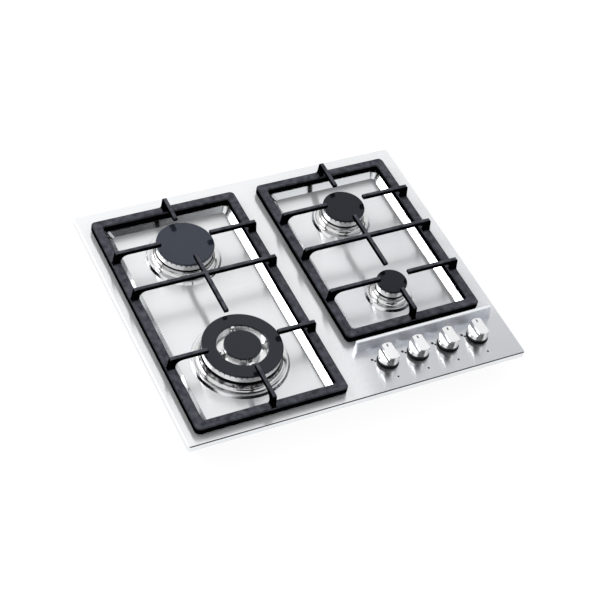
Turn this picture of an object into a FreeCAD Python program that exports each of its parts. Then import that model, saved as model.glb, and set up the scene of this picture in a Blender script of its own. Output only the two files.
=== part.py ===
"""Built-in gas cooktop with four burners, written one STEP file per piece.

Millimetres, +Z up, +X to the user's right, +Y to the back.  The origin is in the middle of the
under-tray's flat bottom, so the whole cooktop stands on Z = 0.  Heights on the cooktop are given
from the plate's top face, which lies PLATE_TOP above the origin.
"""
import FreeCAD
import Part

import math
import os

from collections import namedtuple

V = FreeCAD.Vector
UP = V(0, 0, 1)
BACK = V(0, 1, 0)
RIGHT = V(1, 0, 0)

Rect = namedtuple("Rect", "x0 y0 x1 y1")
Burner = namedtuple("Burner", "name x y cap_r cap_top neck_r bore_r screw_r ports tap_x")

# How far a cutter passes the faces that it opens, and a joined body enters its neighbour.
OVERCUT = 1.0
# Slack when faces are found or coplanar faces are kept apart.
NUDGE = 0.01

# ---- top plate: pressed and folded stainless sheet -----------------------------------------------
PLATE_WIDTH = 590.0
PLATE_DEPTH = 500.0
SHEET = 1.0
RIM_HEIGHT = 11.0
RIM_RETURN = 9.0
PLATE_CORNER_R = 5.0
PLATE_BEND_R = 2.0

# ---- worktop cut-out and seal: the plate laps over the worktop all round -------------------------
WORKTOP_LAP_X = 15.0
WORKTOP_LAP_Y = 10.0
SEAL_THICKNESS = 1.5
SEAL_EDGE_GAP = 1.5

# ---- under-tray ----------------------------------------------------------------------------------
TRAY_DEPTH = 47.5
TRAY_SHEET = 1.0
TRAY_SIDE_GAP = 5.0
TRAY_FRONT_GAP = 5.0
TRAY_BACK_GAP = 14.0
TRAY_SHOULDER = 30.0
TRAY_FRONT_TAPER = 24.5
TRAY_CORNER_R = 6.0
TRAY_TOP_GAP = 2.0

# ---- pan supports: cast iron ---------------------------------------------------------------------
SUPPORT_GAP = 42.0
SUPPORT_LEFT_MARGIN = 18.0
SUPPORT_RIGHT_MARGIN = 30.0
SUPPORT_BACK_MARGIN = 32.0
LEFT_SUPPORT_FRONT_MARGIN = 15.0
RIGHT_SUPPORT_FRONT_MARGIN = 107.0
SUPPORT_LIFT = 4.0
BAR_WIDTH = 16.0
BAR_HEIGHT = 12.0
BAR_CHAMFER = 2.0
BAR_CORNER_R = 8.0
BAR_INNER_R = 5.0
FINGER_RISE = 25.0
FINGER_WIDTH = 6.5
FINGER_THICKNESS = 7.5
FINGER_EDGE = 1.0
POST_INSET = 1.5
POST_LEAN = 2.5
POST_DEPTH = 12.5
POST_SHOULDER_R = 5.0
ARCH_R = 12.0
FLARE_R = 4.0
TIP_CHAMFER = 1.5
BURY = 3.0
FOOT_R = 5.0
FOOT_STEM_R = 2.5
FOOT_STEM_LENGTH = 6.0
FOOT_CLEARANCE = 0.05
FOOT_GAP = 0.05
FOOT_STEM_GAP = 1.0
LEFT_CROSS_FROM_REAR = 82.0
RIGHT_CROSS_FROM_REAR = 85.0
CROSS_LAP = 1.0

# ---- wells pressed into the plate ----------------------------------------------------------------
WELL_INSET_LEFT = 20.0
WELL_INSET_RIGHT = 12.0
WELL_INSET_FRONT = 13.0
WELL_INSET_BACK = 11.5
WELL_DEPTH = 8.0
WELL_RUN = 11.0
WELL_CORNER_R = 9.0
WELL_FOOT_R = 5.0
WELL_SLOPE_SHEET = 1.25

# ---- burners -------------------------------------------------------------------------------------
LEFT_COLUMN_OFFSET = -1.0
RIGHT_COLUMN_OFFSET = -2.0
REAR_ROW_FROM_BACK = 131.0
WOK_ROW_FROM_FRONT = 138.0
SMALL_ROW_FROM_FRONT = 189.0
SEAT_RISE = 4.0
SEAT_MARGIN = 11.5
SEAT_SLOPE = 3.0
BASE_RECESS = 0.5
BASE_FLANGE = 8.5
BASE_FLANGE_EDGE = 1.2
BASE_SWEEP_OUT = 0.22
BASE_SWEEP_UP = 0.28
BASE_TOP = 7.0
BASE_LAND = 2.0
BASE_POCKET = 1.0
BASE_WALL = 4.0
NECK_CLEARANCE = 1.0
SPREADER_HEIGHT = 11.0
SPREADER_INSET = 1.0
SPREADER_WALL = 6.0
SPREADER_SKIRT = 2.0
SKIRT_REACH = 1.5
SPREADER_CLEARANCE = 0.4
CAP_THICKNESS = 3.5
CAP_EDGE_R = 1.2
CAP_LOCATOR = 3.0
CAP_LOCATOR_WALL = 2.0
PORT_WIDTH = 1.8
PORT_HEIGHT = 3.5
CAP_GAP = 0.05
WOK_RING_INNER_R = 41.0
WOK_INNER_CAP_R = 29.7
WOK_INNER_CAP_STEP = 1.0
WOK_BRIDGE_WIDTH = 7.0
WOK_BRIDGES = 4
WOK_BRIDGE_LAP = 2.0
WOK_BRIDGE_DROP = 2.0
WOK_NUB_WIDTH = 5.0
WOK_NUB_DEPTH = 3.5
WOK_NUB_RISE = 3.0
WOK_WALL = 5.0
WOK_INNER_PORTS = 24
WOK_CROWN_PORTS = 20
WOK_FLOOR = 15.0
WOK_FLOOR_THICKNESS = 3.0
INJECTOR_R = 4.0
INJECTOR_HEX_R = 5.5
INJECTOR_HEIGHT = 12.0
INJECTOR_WALL = 6.0
INJECTOR_JET_R = 0.6
INJECTOR_RECESS = 1.0

BURNER_SCREW_R = 1.9
BURNER_SCREW_HOLE_R = 2.2
BURNER_SCREW_HEAD_R = 3.2
BURNER_SCREW_HEAD = 2.0
BURNER_SCREW_END = 9.0
BURNER_SCREW_ANGLES = (100.0, 220.0, 340.0)
BURNER_NUT_R = 3.5
BURNER_NUT_HEIGHT = 3.0

PROBE_OFFSET = 4.7
SPARK_ANGLE = 38.0
PROBE_ANGLE = 74.0
SPARK_SLEEVE_R = 2.2
SPARK_TIP_R = 0.9
PROBE_R = 1.6
PROBE_CLEARANCE = 0.2
PROBE_TOP = 14.0
SPARK_SLEEVE_TOP = 9.0
SPARK_TIP_TOP = 16.0
PROBE_BOTTOM = 26.0
PROBE_COLLAR_R = 3.4
PROBE_COLLAR = 2.0

# ---- knobs and taps ------------------------------------------------------------------------------
KNOB_ROW_FROM_FRONT = 55.2
KNOB_LAST_FROM_RIGHT = 61.3
KNOB_PITCH = 54.8
KNOB_R = 17.0
KNOB_BOTTOM = 4.2
KNOB_EDGE_TOP = 13.5
KNOB_SCOOP_TOP = 23.0
KNOB_SCOOP_REACH = 2.0
KNOB_TOP = 25.6
KNOB_GRIP_WIDTH = 17.0
KNOB_EDGE_R = 0.8
KNOB_POCKET_R = 14.0
KNOB_POCKET_TOP = 10.5
KNOB_HUB_WALL = 3.0
KNOB_BORE_TOP = 18.2
KNOB_LINE_WIDTH = 2.2
KNOB_LINE_LENGTH = 5.5
KNOB_LINE_DEPTH = 0.6
KNOB_LINE_END = 3.0
HUB_GAP = 0.5
PUSH_TRAVEL = 3.0
BEZEL_R = 18.2
BEZEL_HEIGHT = 0.8
BEZEL_COLLAR_R = 12.5
BEZEL_COLLAR_TOP = 6.0
BEZEL_SPIGOT_WALL = 2.7
BEZEL_SPIGOT_REACH = 1.0
SPIGOT_CLEARANCE = 0.1
SHAFT_R = 3.0
SHAFT_FLAT = 2.0
SHAFT_FLAT_LENGTH = 9.0
SHAFT_TOP = 18.0
SHAFT_CLEARANCE = 0.3
KNOB_FIT = 0.05

COVER_TOP = 8.0
COVER_THICKNESS = 2.0
COVER_LENGTH = 34.0
COVER_WIDTH = 22.0
COVER_CORNER_R = 4.0
COVER_HOLE_CLEARANCE = 0.05
TAP_R = 12.0
TAP_BOTTOM = 42.0
PLUG_TOP_R = 7.5
PLUG_BOTTOM_R = 5.6
PLUG_CLEARANCE = 0.05
PLUG_TOP = 11.0
PLUG_BOTTOM = 34.0
PLUG_POCKET_GAP = 0.6
PLUG_POCKET_BOTTOM = 18.0
PLUG_SOCKET_BOTTOM = 32.0
PLUG_PORT_R = 2.2
PLUG_PORT_RISE = 3.0
TONGUE = 4.0
TONGUE_FIT = 0.05
TONGUE_BOTTOM = 26.0
TONGUE_TOP = 15.0
COLLAR_WIDTH = 1.6
COLLAR_TOP = 10.3
COLLAR_THICKNESS = 1.5
SPRING_SHAFT_GAP = 0.3
SPRING_COLLAR_MARGIN = 0.2
ROD_HOLE_R = 2.5
MAGNET_R = 7.5
MAGNET_NUT_R = 9.0
MAGNET_NUT = 4.0
MAGNET_FLOOR_GAP = 2.0
INLET_BOSS_R = 5.0
OUTLET_BOSS_R = 5.5
OUTLET_BOSS_REACH = 17.0
OUTLET_LEVEL = 22.0
PORT_R = 3.0

BRACKET_SHEET = 1.5
BRACKET_WEB_TOP = 6.5
BRACKET_HALF_DEPTH = 20.0
BRACKET_LIP = 6.0
BRACKET_END = 26.0
BRACKET_HOLE_R = 8.0
TAP_SCREW_SPACING = 26.0
TAP_SCREW_R = 1.4
TAP_SCREW_HOLE_R = 1.6
TAP_SCREW_HEAD_R = 2.6
TAP_SCREW_HEAD = 1.8
TAP_EAR_R = 4.5
TAP_SCREW_LENGTH = 10.0
TAP_SCREW_END_GAP = 2.0
TAP_WEB_WIDTH = 6.0
SWITCH_LENGTH = 12.0
SWITCH_WIDTH = 6.0
SWITCH_HEIGHT = 9.0
SWITCH_GAP = 1.0

# ---- gas rail and tubes --------------------------------------------------------------------------
RAIL_R = 7.0
RAIL_WALL = 1.5
RAIL_BEHIND = 23.0
RAIL_LEVEL = 36.0
RAIL_START = 14.0
RAIL_BEND_GAP = 0.3
RAIL_END_WALL = 2.0
INLET_FROM_BACK = 24.5
INLET_BLOCK_WALL = 1.5
INLET_BLOCK_MARGIN = 1.0
INLET_COLLAR = 1.2
INLET_CORNER_GAP = 0.32
INLET_THREAD_R = 10.48
INLET_BORE_R = 7.0
INLET_HOLE_CLEARANCE = 0.5
LOCKNUT_WALL = 4.52
LOCKNUT_THICKNESS = 4.0
STUB_LENGTH = 13.0
THREAD_RELIEF = 1.0
THREAD_RELIEF_DEPTH = 0.9
TUBE_R = 4.0
TUBE_BORE_R = 3.0
TUBE_BEND_R = 12.0
TUBE_FLOOR_GAP = 4.0
TUBE_END = 1.0
TUBE_DROP = 49.0
TUBE_CROSSING_GAP = 134.0
TUBE_ASIDE = 60.0

# ---- electrics -----------------------------------------------------------------------------------
MODULE_FROM_SIDE = 13.0
MODULE_WIDTH = 56.0
MODULE_DEPTH = 44.0
MODULE_HEIGHT = 26.0
MODULE_CORNER_R = 3.0
MODULE_TERMINAL_R = 2.5
MODULE_TERMINAL_HEIGHT = 5.0
MODULE_TERMINAL_PITCH = 10.0
MODULE_TERMINAL_FROM_EDGE = 8.0
TERMINAL_FROM_SIDE = 45.0
TERMINAL_FROM_BACK = 32.0
TERMINAL_WIDTH = 36.0
TERMINAL_DEPTH = 22.0
TERMINAL_HEIGHT = 16.0
TERMINAL_CORNER_R = 2.0
TERMINAL_WAYS = 3
TERMINAL_HOLE_R = 1.8
TERMINAL_HOLE_DEPTH = 8.0
GROMMET_FROM_SIDE = 47.0
GROMMET_LEVEL = 21.0
GROMMET_BORE_R = 3.6
GROMMET_NECK_R = 6.0
GROMMET_FLANGE_R = 8.5
GROMMET_FLANGE = 2.0

# ---- knob guard ----------------------------------------------------------------------------------
GUARD_FROM_RIGHT = 19.0
GUARD_LENGTH = 248.0
GUARD_FROM_FRONT = 84.5
GUARD_DEPTH = 12.5
GUARD_HEIGHT = 20.0
GUARD_FRONT_LEAN = 4.5
GUARD_BACK_LEAN = 2.0
GUARD_SHEET = 1.0
GUARD_CORNER_R = 2.5
GUARD_TOP_R = 1.5
GUARD_LUG = 8.0
GUARD_LUG_INSET = 40.0
GUARD_SCREW_R = 1.9
GUARD_SCREW_HEAD_R = 3.6
GUARD_SCREW_HEAD = 2.2
GUARD_SCREW_LENGTH = 6.0

# ---- tray fixings --------------------------------------------------------------------------------
TAB_WIDTH = 20.0
TAB_SHEET = 1.5
TAB_DEPTH = 14.0
TAB_LEG = 13.0
TAB_FROM_FRONT = 85.0
TAB_FROM_BACK = 76.0
TAB_SCREW_LENGTH = 6.0
TAB_SCREW_BELOW_PLATE = 10.0
TAB_SCREW_R = 1.9
TAB_HOLE_R = 2.1
TAB_HEAD_R = 3.6
TAB_HEAD = 2.2
CLAMP_FROM_SIDE = 35.0
CLAMP_FROM_FRONT = 39.5
CLAMP_FROM_BACK = 57.0
INSERT_BORE_R = 2.0
INSERT_R = 3.5
INSERT_FLANGE_R = 5.5
INSERT_FLANGE = 1.0
INSERT_LENGTH = 8.0

# ---- levels and outlines worked out from the sizes above -----------------------------------------
RIM_BOTTOM = TRAY_DEPTH + SEAL_THICKNESS
PLATE_TOP = RIM_BOTTOM + RIM_HEIGHT
PLATE_UNDER = PLATE_TOP - SHEET
WELL_FLOOR = PLATE_TOP - WELL_DEPTH
SEAT_TOP = WELL_FLOOR + SEAT_RISE
BAR_BOTTOM = PLATE_TOP + SUPPORT_LIFT
BAR_TOP = BAR_BOTTOM + BAR_HEIGHT
PLATE = Rect(-PLATE_WIDTH / 2, -PLATE_DEPTH / 2, PLATE_WIDTH / 2, PLATE_DEPTH / 2)
CUTOUT = Rect(PLATE.x0 + WORKTOP_LAP_X, PLATE.y0 + WORKTOP_LAP_Y, PLATE.x1 - WORKTOP_LAP_X,
              PLATE.y1 - WORKTOP_LAP_Y)
TRAY = Rect(CUTOUT.x0 + TRAY_SIDE_GAP, CUTOUT.y0 + TRAY_FRONT_GAP, CUTOUT.x1 - TRAY_SIDE_GAP,
            CUTOUT.y1 - TRAY_BACK_GAP)
TRAY_FLOOR = Rect(TRAY.x0, TRAY.y0 + TRAY_FRONT_TAPER, TRAY.x1, TRAY.y1)
TRAY_TOP = PLATE_UNDER - TRAY_TOP_GAP

LEFT_SUPPORT = Rect(PLATE.x0 + SUPPORT_LEFT_MARGIN, PLATE.y0 + LEFT_SUPPORT_FRONT_MARGIN,
                    -SUPPORT_GAP / 2, PLATE.y1 - SUPPORT_BACK_MARGIN)
RIGHT_SUPPORT = Rect(SUPPORT_GAP / 2, PLATE.y0 + RIGHT_SUPPORT_FRONT_MARGIN,
                     PLATE.x1 - SUPPORT_RIGHT_MARGIN, PLATE.y1 - SUPPORT_BACK_MARGIN)
LEFT_COLUMN = (LEFT_SUPPORT.x0 + LEFT_SUPPORT.x1) / 2 + LEFT_COLUMN_OFFSET
RIGHT_COLUMN = (RIGHT_SUPPORT.x0 + RIGHT_SUPPORT.x1) / 2 + RIGHT_COLUMN_OFFSET
REAR_ROW = PLATE.y1 - REAR_ROW_FROM_BACK
WOK_ROW = PLATE.y0 + WOK_ROW_FROM_FRONT
SMALL_ROW = PLATE.y0 + SMALL_ROW_FROM_FRONT
TUBE_LEVEL = TRAY_SHEET + TUBE_FLOOR_GAP + TUBE_R
BASE_LEVEL = TUBE_LEVEL + TUBE_BEND_R + TUBE_END

KNOB_ROW = PLATE.y0 + KNOB_ROW_FROM_FRONT
KNOB_X = [PLATE.x1 - KNOB_LAST_FROM_RIGHT - KNOB_PITCH * place for place in (3, 2, 1, 0)]
KNOB_HUB_R = SHAFT_R + KNOB_HUB_WALL
BEZEL_SPIGOT_R = SHAFT_R + SHAFT_CLEARANCE + BEZEL_SPIGOT_WALL
COLLAR_R = SHAFT_R + COLLAR_WIDTH
SPRING_INNER_R = SHAFT_R + SPRING_SHAFT_GAP
SPRING_OUTER_R = COLLAR_R - SPRING_COLLAR_MARGIN
PLUG_POCKET_R = COLLAR_R + PLUG_POCKET_GAP

RAIL_SIDE = TRAY.x1 - TRAY_CORNER_R - INLET_CORNER_GAP - INLET_COLLAR - INLET_THREAD_R
RAIL_BEND_R = RAIL_SIDE - KNOB_X[-1] - INLET_BOSS_R - RAIL_BEND_GAP
INLET_Y = TRAY.y1 - INLET_FROM_BACK
INLET_BLOCK_R = INLET_THREAD_R + INLET_BLOCK_WALL
LOCKNUT_R = INLET_THREAD_R + LOCKNUT_WALL
GUARD = Rect(PLATE.x1 - GUARD_FROM_RIGHT - GUARD_LENGTH, PLATE.y0 + GUARD_FROM_FRONT,
             PLATE.x1 - GUARD_FROM_RIGHT, PLATE.y0 + GUARD_FROM_FRONT + GUARD_DEPTH)
MODULE = Rect(TRAY.x0 + MODULE_FROM_SIDE, 0.0, TRAY.x0 + MODULE_FROM_SIDE + MODULE_WIDTH, MODULE_DEPTH)
TERMINAL = Rect(TRAY.x0 + TERMINAL_FROM_SIDE, TRAY.y1 - TERMINAL_FROM_BACK - TERMINAL_DEPTH,
                TRAY.x0 + TERMINAL_FROM_SIDE + TERMINAL_WIDTH, TRAY.y1 - TERMINAL_FROM_BACK)
GROMMET_X = TRAY.x0 + GROMMET_FROM_SIDE
TAB_Y = (TRAY.y0 + TAB_FROM_FRONT, TRAY.y1 - TAB_FROM_BACK)

BURNERS = [
    Burner("wok", LEFT_COLUMN, WOK_ROW, 64.3, 28.0, 22.0, 13.0, 32.0, 44, KNOB_X[0]),
    Burner("rapid", LEFT_COLUMN, REAR_ROW, 48.0, 25.0, 19.0, 11.0, 27.0, 36, KNOB_X[1]),
    Burner("small", RIGHT_COLUMN, SMALL_ROW, 25.5, 25.0, 12.5, 7.5, 16.6, 18, KNOB_X[2]),
    Burner("medium", RIGHT_COLUMN, REAR_ROW, 35.8, 25.0, 15.5, 9.0, 22.0, 26, KNOB_X[3]),
]
WOK = BURNERS[0]

# ---- where each finger of a pan support ends, measured from the burner's centre ------------------
WOK_TIPS = {"left": 59.0, "right": 59.0, "front": 51.0, "back": 64.0}
RAPID_TIPS = {"left": 44.0, "right": 42.0, "front": 39.0, "back": 43.0}
SMALL_TIPS = {"left": 24.0, "right": 26.5, "front": 30.0, "back": 26.0}
MEDIUM_TIPS = {"left": 34.0, "right": 33.5, "front": 35.5, "back": 37.0}
LEFT_CROSS_BAR = REAR_ROW - LEFT_CROSS_FROM_REAR
RIGHT_CROSS_BAR = REAR_ROW - RIGHT_CROSS_FROM_REAR


# ---- shared shapes -------------------------------------------------------------------------------
def inset(rect, dx, dy=None):
    """The rectangle drawn in by dx at the sides and dy at the front and back."""
    dy = dx if dy is None else dy
    return Rect(rect.x0 + dx, rect.y0 + dy, rect.x1 - dx, rect.y1 - dy)


def box(x0, y0, z0, x1, y1, z1):
    """A box between two corners."""
    return Part.makeBox(x1 - x0, y1 - y0, z1 - z0, V(x0, y0, z0))


def cylinder(x, y, z0, z1, r):
    """An upright cylinder."""
    return Part.makeCylinder(r, z1 - z0, V(x, y, z0), UP)


def rod_y(x, y0, y1, z, r):
    """A cylinder that lies from front to back."""
    return Part.makeCylinder(r, y1 - y0, V(x, y0, z), BACK)


def rod_x(x0, x1, y, z, r):
    """A cylinder that lies from left to right."""
    return Part.makeCylinder(r, x1 - x0, V(x0, y, z), RIGHT)


def hexagon(x, y, z0, z1, r):
    """An upright hexagonal prism whose corners lie at radius r."""
    turns = [math.radians(60 * side) for side in range(7)]
    wire = Part.makePolygon([V(x + r * math.cos(t), y + r * math.sin(t), z0) for t in turns])
    return Part.Face(wire).extrude(V(0, 0, z1 - z0))


def rounded_wire(rect, r, z):
    """The outline of a rectangle with round corners, at height z."""
    x0, y0, x1, y1 = rect
    k = r * (1 - math.sqrt(0.5))
    corners = [
        (V(x1 - r, y0, z), V(x1 - k, y0 + k, z), V(x1, y0 + r, z)),
        (V(x1, y1 - r, z), V(x1 - k, y1 - k, z), V(x1 - r, y1, z)),
        (V(x0 + r, y1, z), V(x0 + k, y1 - k, z), V(x0, y1 - r, z)),
        (V(x0, y0 + r, z), V(x0 + k, y0 + k, z), V(x0 + r, y0, z)),
    ]
    edges = []
    for place, (start, middle, end) in enumerate(corners):
        edges.append(Part.Arc(start, middle, end).toShape())
        edges.append(Part.LineSegment(end, corners[(place + 1) % 4][0]).toShape())
    return Part.Wire(edges)


def slab(rect, r, z0, z1):
    """A plate with round corners between two heights."""
    return Part.Face(rounded_wire(rect, r, z0)).extrude(V(0, 0, z1 - z0))


def sloped(rect0, r0, z0, rect1, r1, z1):
    """A body whose sides slope from one rounded rectangle to another."""
    return Part.makeLoft([rounded_wire(rect0, r0, z0), rounded_wire(rect1, r1, z1)], True, True)


def fused(shapes):
    """One shape from many, with its seams removed."""
    return shapes[0].multiFuse(shapes[1:]).removeSplitter()


def polar(x, y, r, degrees):
    """The point at radius r and angle from +X about x, y."""
    turn = math.radians(degrees)
    return x + r * math.cos(turn), y + r * math.sin(turn)


def profile(parts):
    """A closed face from points; a triple of points is an arc through them."""
    edges = []
    for start, end in zip(parts, parts[1:] + parts[:1]):
        head = start[-1] if isinstance(start, tuple) else start
        tail = end[0] if isinstance(end, tuple) else end
        if isinstance(start, tuple):
            edges.append(Part.Arc(*start).toShape())
        if head.distanceToPoint(tail) > 1e-6:
            edges.append(Part.LineSegment(head, tail).toShape())
    return Part.Face(Part.Wire(edges))


def turned(parts, x, y):
    """A solid of revolution about the upright line at x, y, from (radius, height) pairs.

    A triple of pairs is an arc through them.
    """
    def place(part):
        """The pair or the triple of pairs as points."""
        if isinstance(part[0], tuple):
            return tuple(V(r, 0, z) for r, z in part)
        return V(part[0], 0, part[1])
    solid = profile([place(part) for part in parts]).revolve(V(0, 0, 0), UP, 360)
    solid.translate(V(x, y, 0))
    return solid


def piped(points, bend_r, r):
    """A round bar along straight runs joined by tangent arcs."""
    edges = []
    start = points[0]
    for before, corner, after in zip(points, points[1:], points[2:]):
        a = (before - corner).normalize()
        b = (after - corner).normalize()
        half = a.getAngle(b) / 2
        run = bend_r / math.tan(half)
        centre = corner + (a + b).normalize() * (bend_r / math.sin(half))
        middle = centre + (corner - centre).normalize() * bend_r
        edges.append(Part.LineSegment(start, corner + a * run).toShape())
        edges.append(Part.Arc(corner + a * run, middle, corner + b * run).toShape())
        start = corner + b * run
    edges.append(Part.LineSegment(start, points[-1]).toShape())
    direction = (points[1] - points[0]).normalize()
    section = Part.Wire([Part.makeCircle(r, points[0], direction)])
    return Part.Wire(edges).makePipeShell([section], True, False)


# ---- top plate -----------------------------------------------------------------------------------
def well_rect(support):
    """The upper outline of the well under a pan support."""
    return Rect(support.x0 + WELL_INSET_LEFT, support.y0 + WELL_INSET_FRONT,
                support.x1 - WELL_INSET_RIGHT, support.y1 - WELL_INSET_BACK)


def well_form(rect, drop, reach):
    """The sloping space of a well, lowered by drop and carried up by reach."""
    top = PLATE_TOP - drop
    foot = inset(rect, WELL_RUN)
    slope = sloped(rect, WELL_CORNER_R, top, foot, WELL_FOOT_R, top - WELL_DEPTH)
    return slope.fuse(slab(rect, WELL_CORNER_R, top, top + reach))


def seat_radius(burner):
    """Outer radius of the raised seat pressed round a burner."""
    return burner.cap_r + SEAT_MARGIN


def seat_cone(burner, wall):
    """The raised seat's form, thinned by wall."""
    foot = WELL_FLOOR - wall - (SHEET if wall else 0.0)
    foot_r = seat_radius(burner) + SEAT_SLOPE - wall
    top_r = seat_radius(burner) - wall
    cone = Part.makeCone(foot_r, top_r, SEAT_RISE, V(burner.x, burner.y, SEAT_TOP - SEAT_RISE - wall))
    return cone.fuse(cylinder(burner.x, burner.y, foot, SEAT_TOP - SEAT_RISE - wall + NUDGE, foot_r))


def screw_points(burner):
    """Where a burner's three fixing screws stand."""
    return [polar(burner.x, burner.y, burner.screw_r, angle) for angle in BURNER_SCREW_ANGLES]


def probe_point(burner, angle):
    """Where the spark electrode or the thermocouple of a burner stands."""
    return polar(burner.x, burner.y, burner.cap_r + PROBE_OFFSET, angle)


def guard_screw_points():
    """Where the knob guard's two screws stand."""
    middle = (GUARD.y0 + GUARD_FRONT_LEAN + GUARD.y1 - GUARD_BACK_LEAN) / 2
    return [(GUARD.x0 + GUARD_LUG_INSET, middle), (GUARD.x1 - GUARD_LUG_INSET, middle)]


def top_plate():
    """Plate with folded rim and return flange, two wells, burner seats and its holes."""
    skin = slab(PLATE, PLATE_CORNER_R, RIM_BOTTOM, PLATE_TOP)
    crest = [edge for edge in skin.Edges if edge.BoundBox.ZMin > PLATE_TOP - NUDGE]
    skin = skin.makeFillet(PLATE_BEND_R, crest)
    hollow = slab(inset(PLATE, SHEET), PLATE_CORNER_R - SHEET, RIM_BOTTOM - SHEET, PLATE_UNDER)
    lip = slab(inset(PLATE, SHEET / 2), PLATE_CORNER_R - SHEET, RIM_BOTTOM, RIM_BOTTOM + SHEET)
    lip = lip.cut(slab(inset(PLATE, SHEET + RIM_RETURN), PLATE_CORNER_R, RIM_BOTTOM - SHEET,
                       RIM_BOTTOM + 2 * SHEET))
    plate = skin.cut(hollow).fuse(lip)
    wells = [well_rect(LEFT_SUPPORT), well_rect(RIGHT_SUPPORT)]
    plate = plate.multiFuse([well_form(well, WELL_SLOPE_SHEET, WELL_SLOPE_SHEET) for well in wells])
    plate = plate.cut([well_form(well, 0.0, SHEET) for well in wells])
    plate = plate.multiFuse([seat_cone(burner, 0.0) for burner in BURNERS])
    plate = plate.cut([seat_cone(burner, SHEET) for burner in BURNERS])
    low = RIM_BOTTOM
    holes = []
    for burner in BURNERS:
        holes.append(cylinder(burner.x, burner.y, low, PLATE_TOP, burner.neck_r + NECK_CLEARANCE))
        holes += [cylinder(x, y, low, PLATE_TOP, BURNER_SCREW_HOLE_R) for x, y in screw_points(burner)]
        for angle, r in ((SPARK_ANGLE, SPARK_SLEEVE_R), (PROBE_ANGLE, PROBE_R)):
            x, y = probe_point(burner, angle)
            holes.append(cylinder(x, y, low, PLATE_TOP, r + PROBE_CLEARANCE))
    for x in KNOB_X:
        hole_r = BEZEL_SPIGOT_R + SPIGOT_CLEARANCE
        holes.append(cylinder(x, KNOB_ROW, RIM_BOTTOM, PLATE_TOP + OVERCUT, hole_r))
    for x, y in guard_screw_points():
        holes.append(cylinder(x, y, RIM_BOTTOM, PLATE_TOP + OVERCUT, BURNER_SCREW_HOLE_R))
    return plate.cut(holes).removeSplitter()


def worktop_seal():
    """Foam strip under the rim's return flange; it lies on the worktop round the cut-out."""
    outer = inset(PLATE, SEAL_EDGE_GAP)
    inner = inset(PLATE, SHEET + RIM_RETURN)
    bottom = RIM_BOTTOM - SEAL_THICKNESS
    ring = slab(outer, PLATE_CORNER_R, bottom, RIM_BOTTOM)
    return ring.cut(slab(inner, PLATE_CORNER_R, bottom - OVERCUT, RIM_BOTTOM + OVERCUT))


# ---- under-tray ----------------------------------------------------------------------------------
def tray_form(wall):
    """The tray's outer form, or its hollow when wall is the sheet's thickness."""
    upper = inset(TRAY, wall)
    lower = inset(TRAY_FLOOR, wall)
    r = TRAY_CORNER_R - wall
    slope = sloped(lower, r, wall, upper, r, TRAY_SHOULDER)
    reach = OVERCUT if wall else 0.0
    return slope.fuse(slab(upper, r, TRAY_SHOULDER, TRAY_TOP + reach))


def clamp_points():
    """Where the four threaded inserts for worktop clamps stand."""
    rows = (TRAY_FLOOR.y0 + CLAMP_FROM_FRONT, TRAY_FLOOR.y1 - CLAMP_FROM_BACK)
    return [(x, y) for x in (TRAY_FLOOR.x0 + CLAMP_FROM_SIDE, TRAY_FLOOR.x1 - CLAMP_FROM_SIDE) for y in rows]


def under_tray():
    """Folded sheet tray that closes the cooktop from below."""
    tray = tray_form(0.0).cut(tray_form(TRAY_SHEET)).removeSplitter()
    screw_z = PLATE_TOP - TAB_SCREW_BELOW_PLATE
    inner = TRAY_SHEET + OVERCUT
    holes = [rod_x(TRAY.x0 - OVERCUT, TRAY.x0 + inner, y, screw_z, TAB_HOLE_R) for y in TAB_Y]
    holes += [rod_x(TRAY.x1 - inner, TRAY.x1 + OVERCUT, y, screw_z, TAB_HOLE_R) for y in TAB_Y]
    wall = (TRAY.y1 - inner, TRAY.y1 + OVERCUT)
    holes.append(rod_y(RAIL_SIDE, *wall, PLATE_TOP - RAIL_LEVEL, INLET_THREAD_R + INLET_HOLE_CLEARANCE))
    holes.append(rod_y(GROMMET_X, *wall, PLATE_TOP - GROMMET_LEVEL, GROMMET_NECK_R))
    holes += [cylinder(x, y, -OVERCUT, inner, INSERT_R) for x, y in clamp_points()]
    return tray.cut(holes)


def clamp_insert(x, y):
    """Threaded insert pressed into the tray's floor for one worktop clamp."""
    body = cylinder(x, y, 0, INSERT_LENGTH, INSERT_R)
    flange = cylinder(x, y, TRAY_SHEET, TRAY_SHEET + INSERT_FLANGE, INSERT_FLANGE_R)
    bore = cylinder(x, y, -OVERCUT, INSERT_LENGTH + OVERCUT, INSERT_BORE_R)
    return body.fuse(flange).cut(bore).removeSplitter()


def tray_tab(side, y):
    """Angle tab under the plate that one tray screw bites into; side is -1 or +1."""
    face = (TRAY.x1 - TRAY_SHEET) * side
    y0 = y - TAB_WIDTH / 2
    y1 = y + TAB_WIDTH / 2
    low = PLATE_UNDER - TAB_LEG
    legs = []
    for x_end, z_low in ((face - side * TAB_SHEET, low), (face - side * TAB_DEPTH, PLATE_UNDER - TAB_SHEET)):
        legs.append(box(min(face, x_end), y0, z_low, max(face, x_end), y1, PLATE_UNDER))
    hole_end = face - side * (TAB_SHEET + OVERCUT)
    hole = rod_x(min(face, hole_end), max(face, hole_end), y, PLATE_TOP - TAB_SCREW_BELOW_PLATE, TAB_SCREW_R)
    return fused(legs).cut(hole)


def tray_screw(side, y):
    """Screw through the tray's wall into a tab."""
    z = PLATE_TOP - TAB_SCREW_BELOW_PLATE
    wall = TRAY.x1 * side
    tip = wall - side * TAB_SCREW_LENGTH
    head = wall + side * TAB_HEAD
    shank = rod_x(min(wall, tip), max(wall, tip), y, z, TAB_SCREW_R)
    return shank.fuse(rod_x(min(wall, head), max(wall, head), y, z, TAB_HEAD_R)).removeSplitter()


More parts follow.
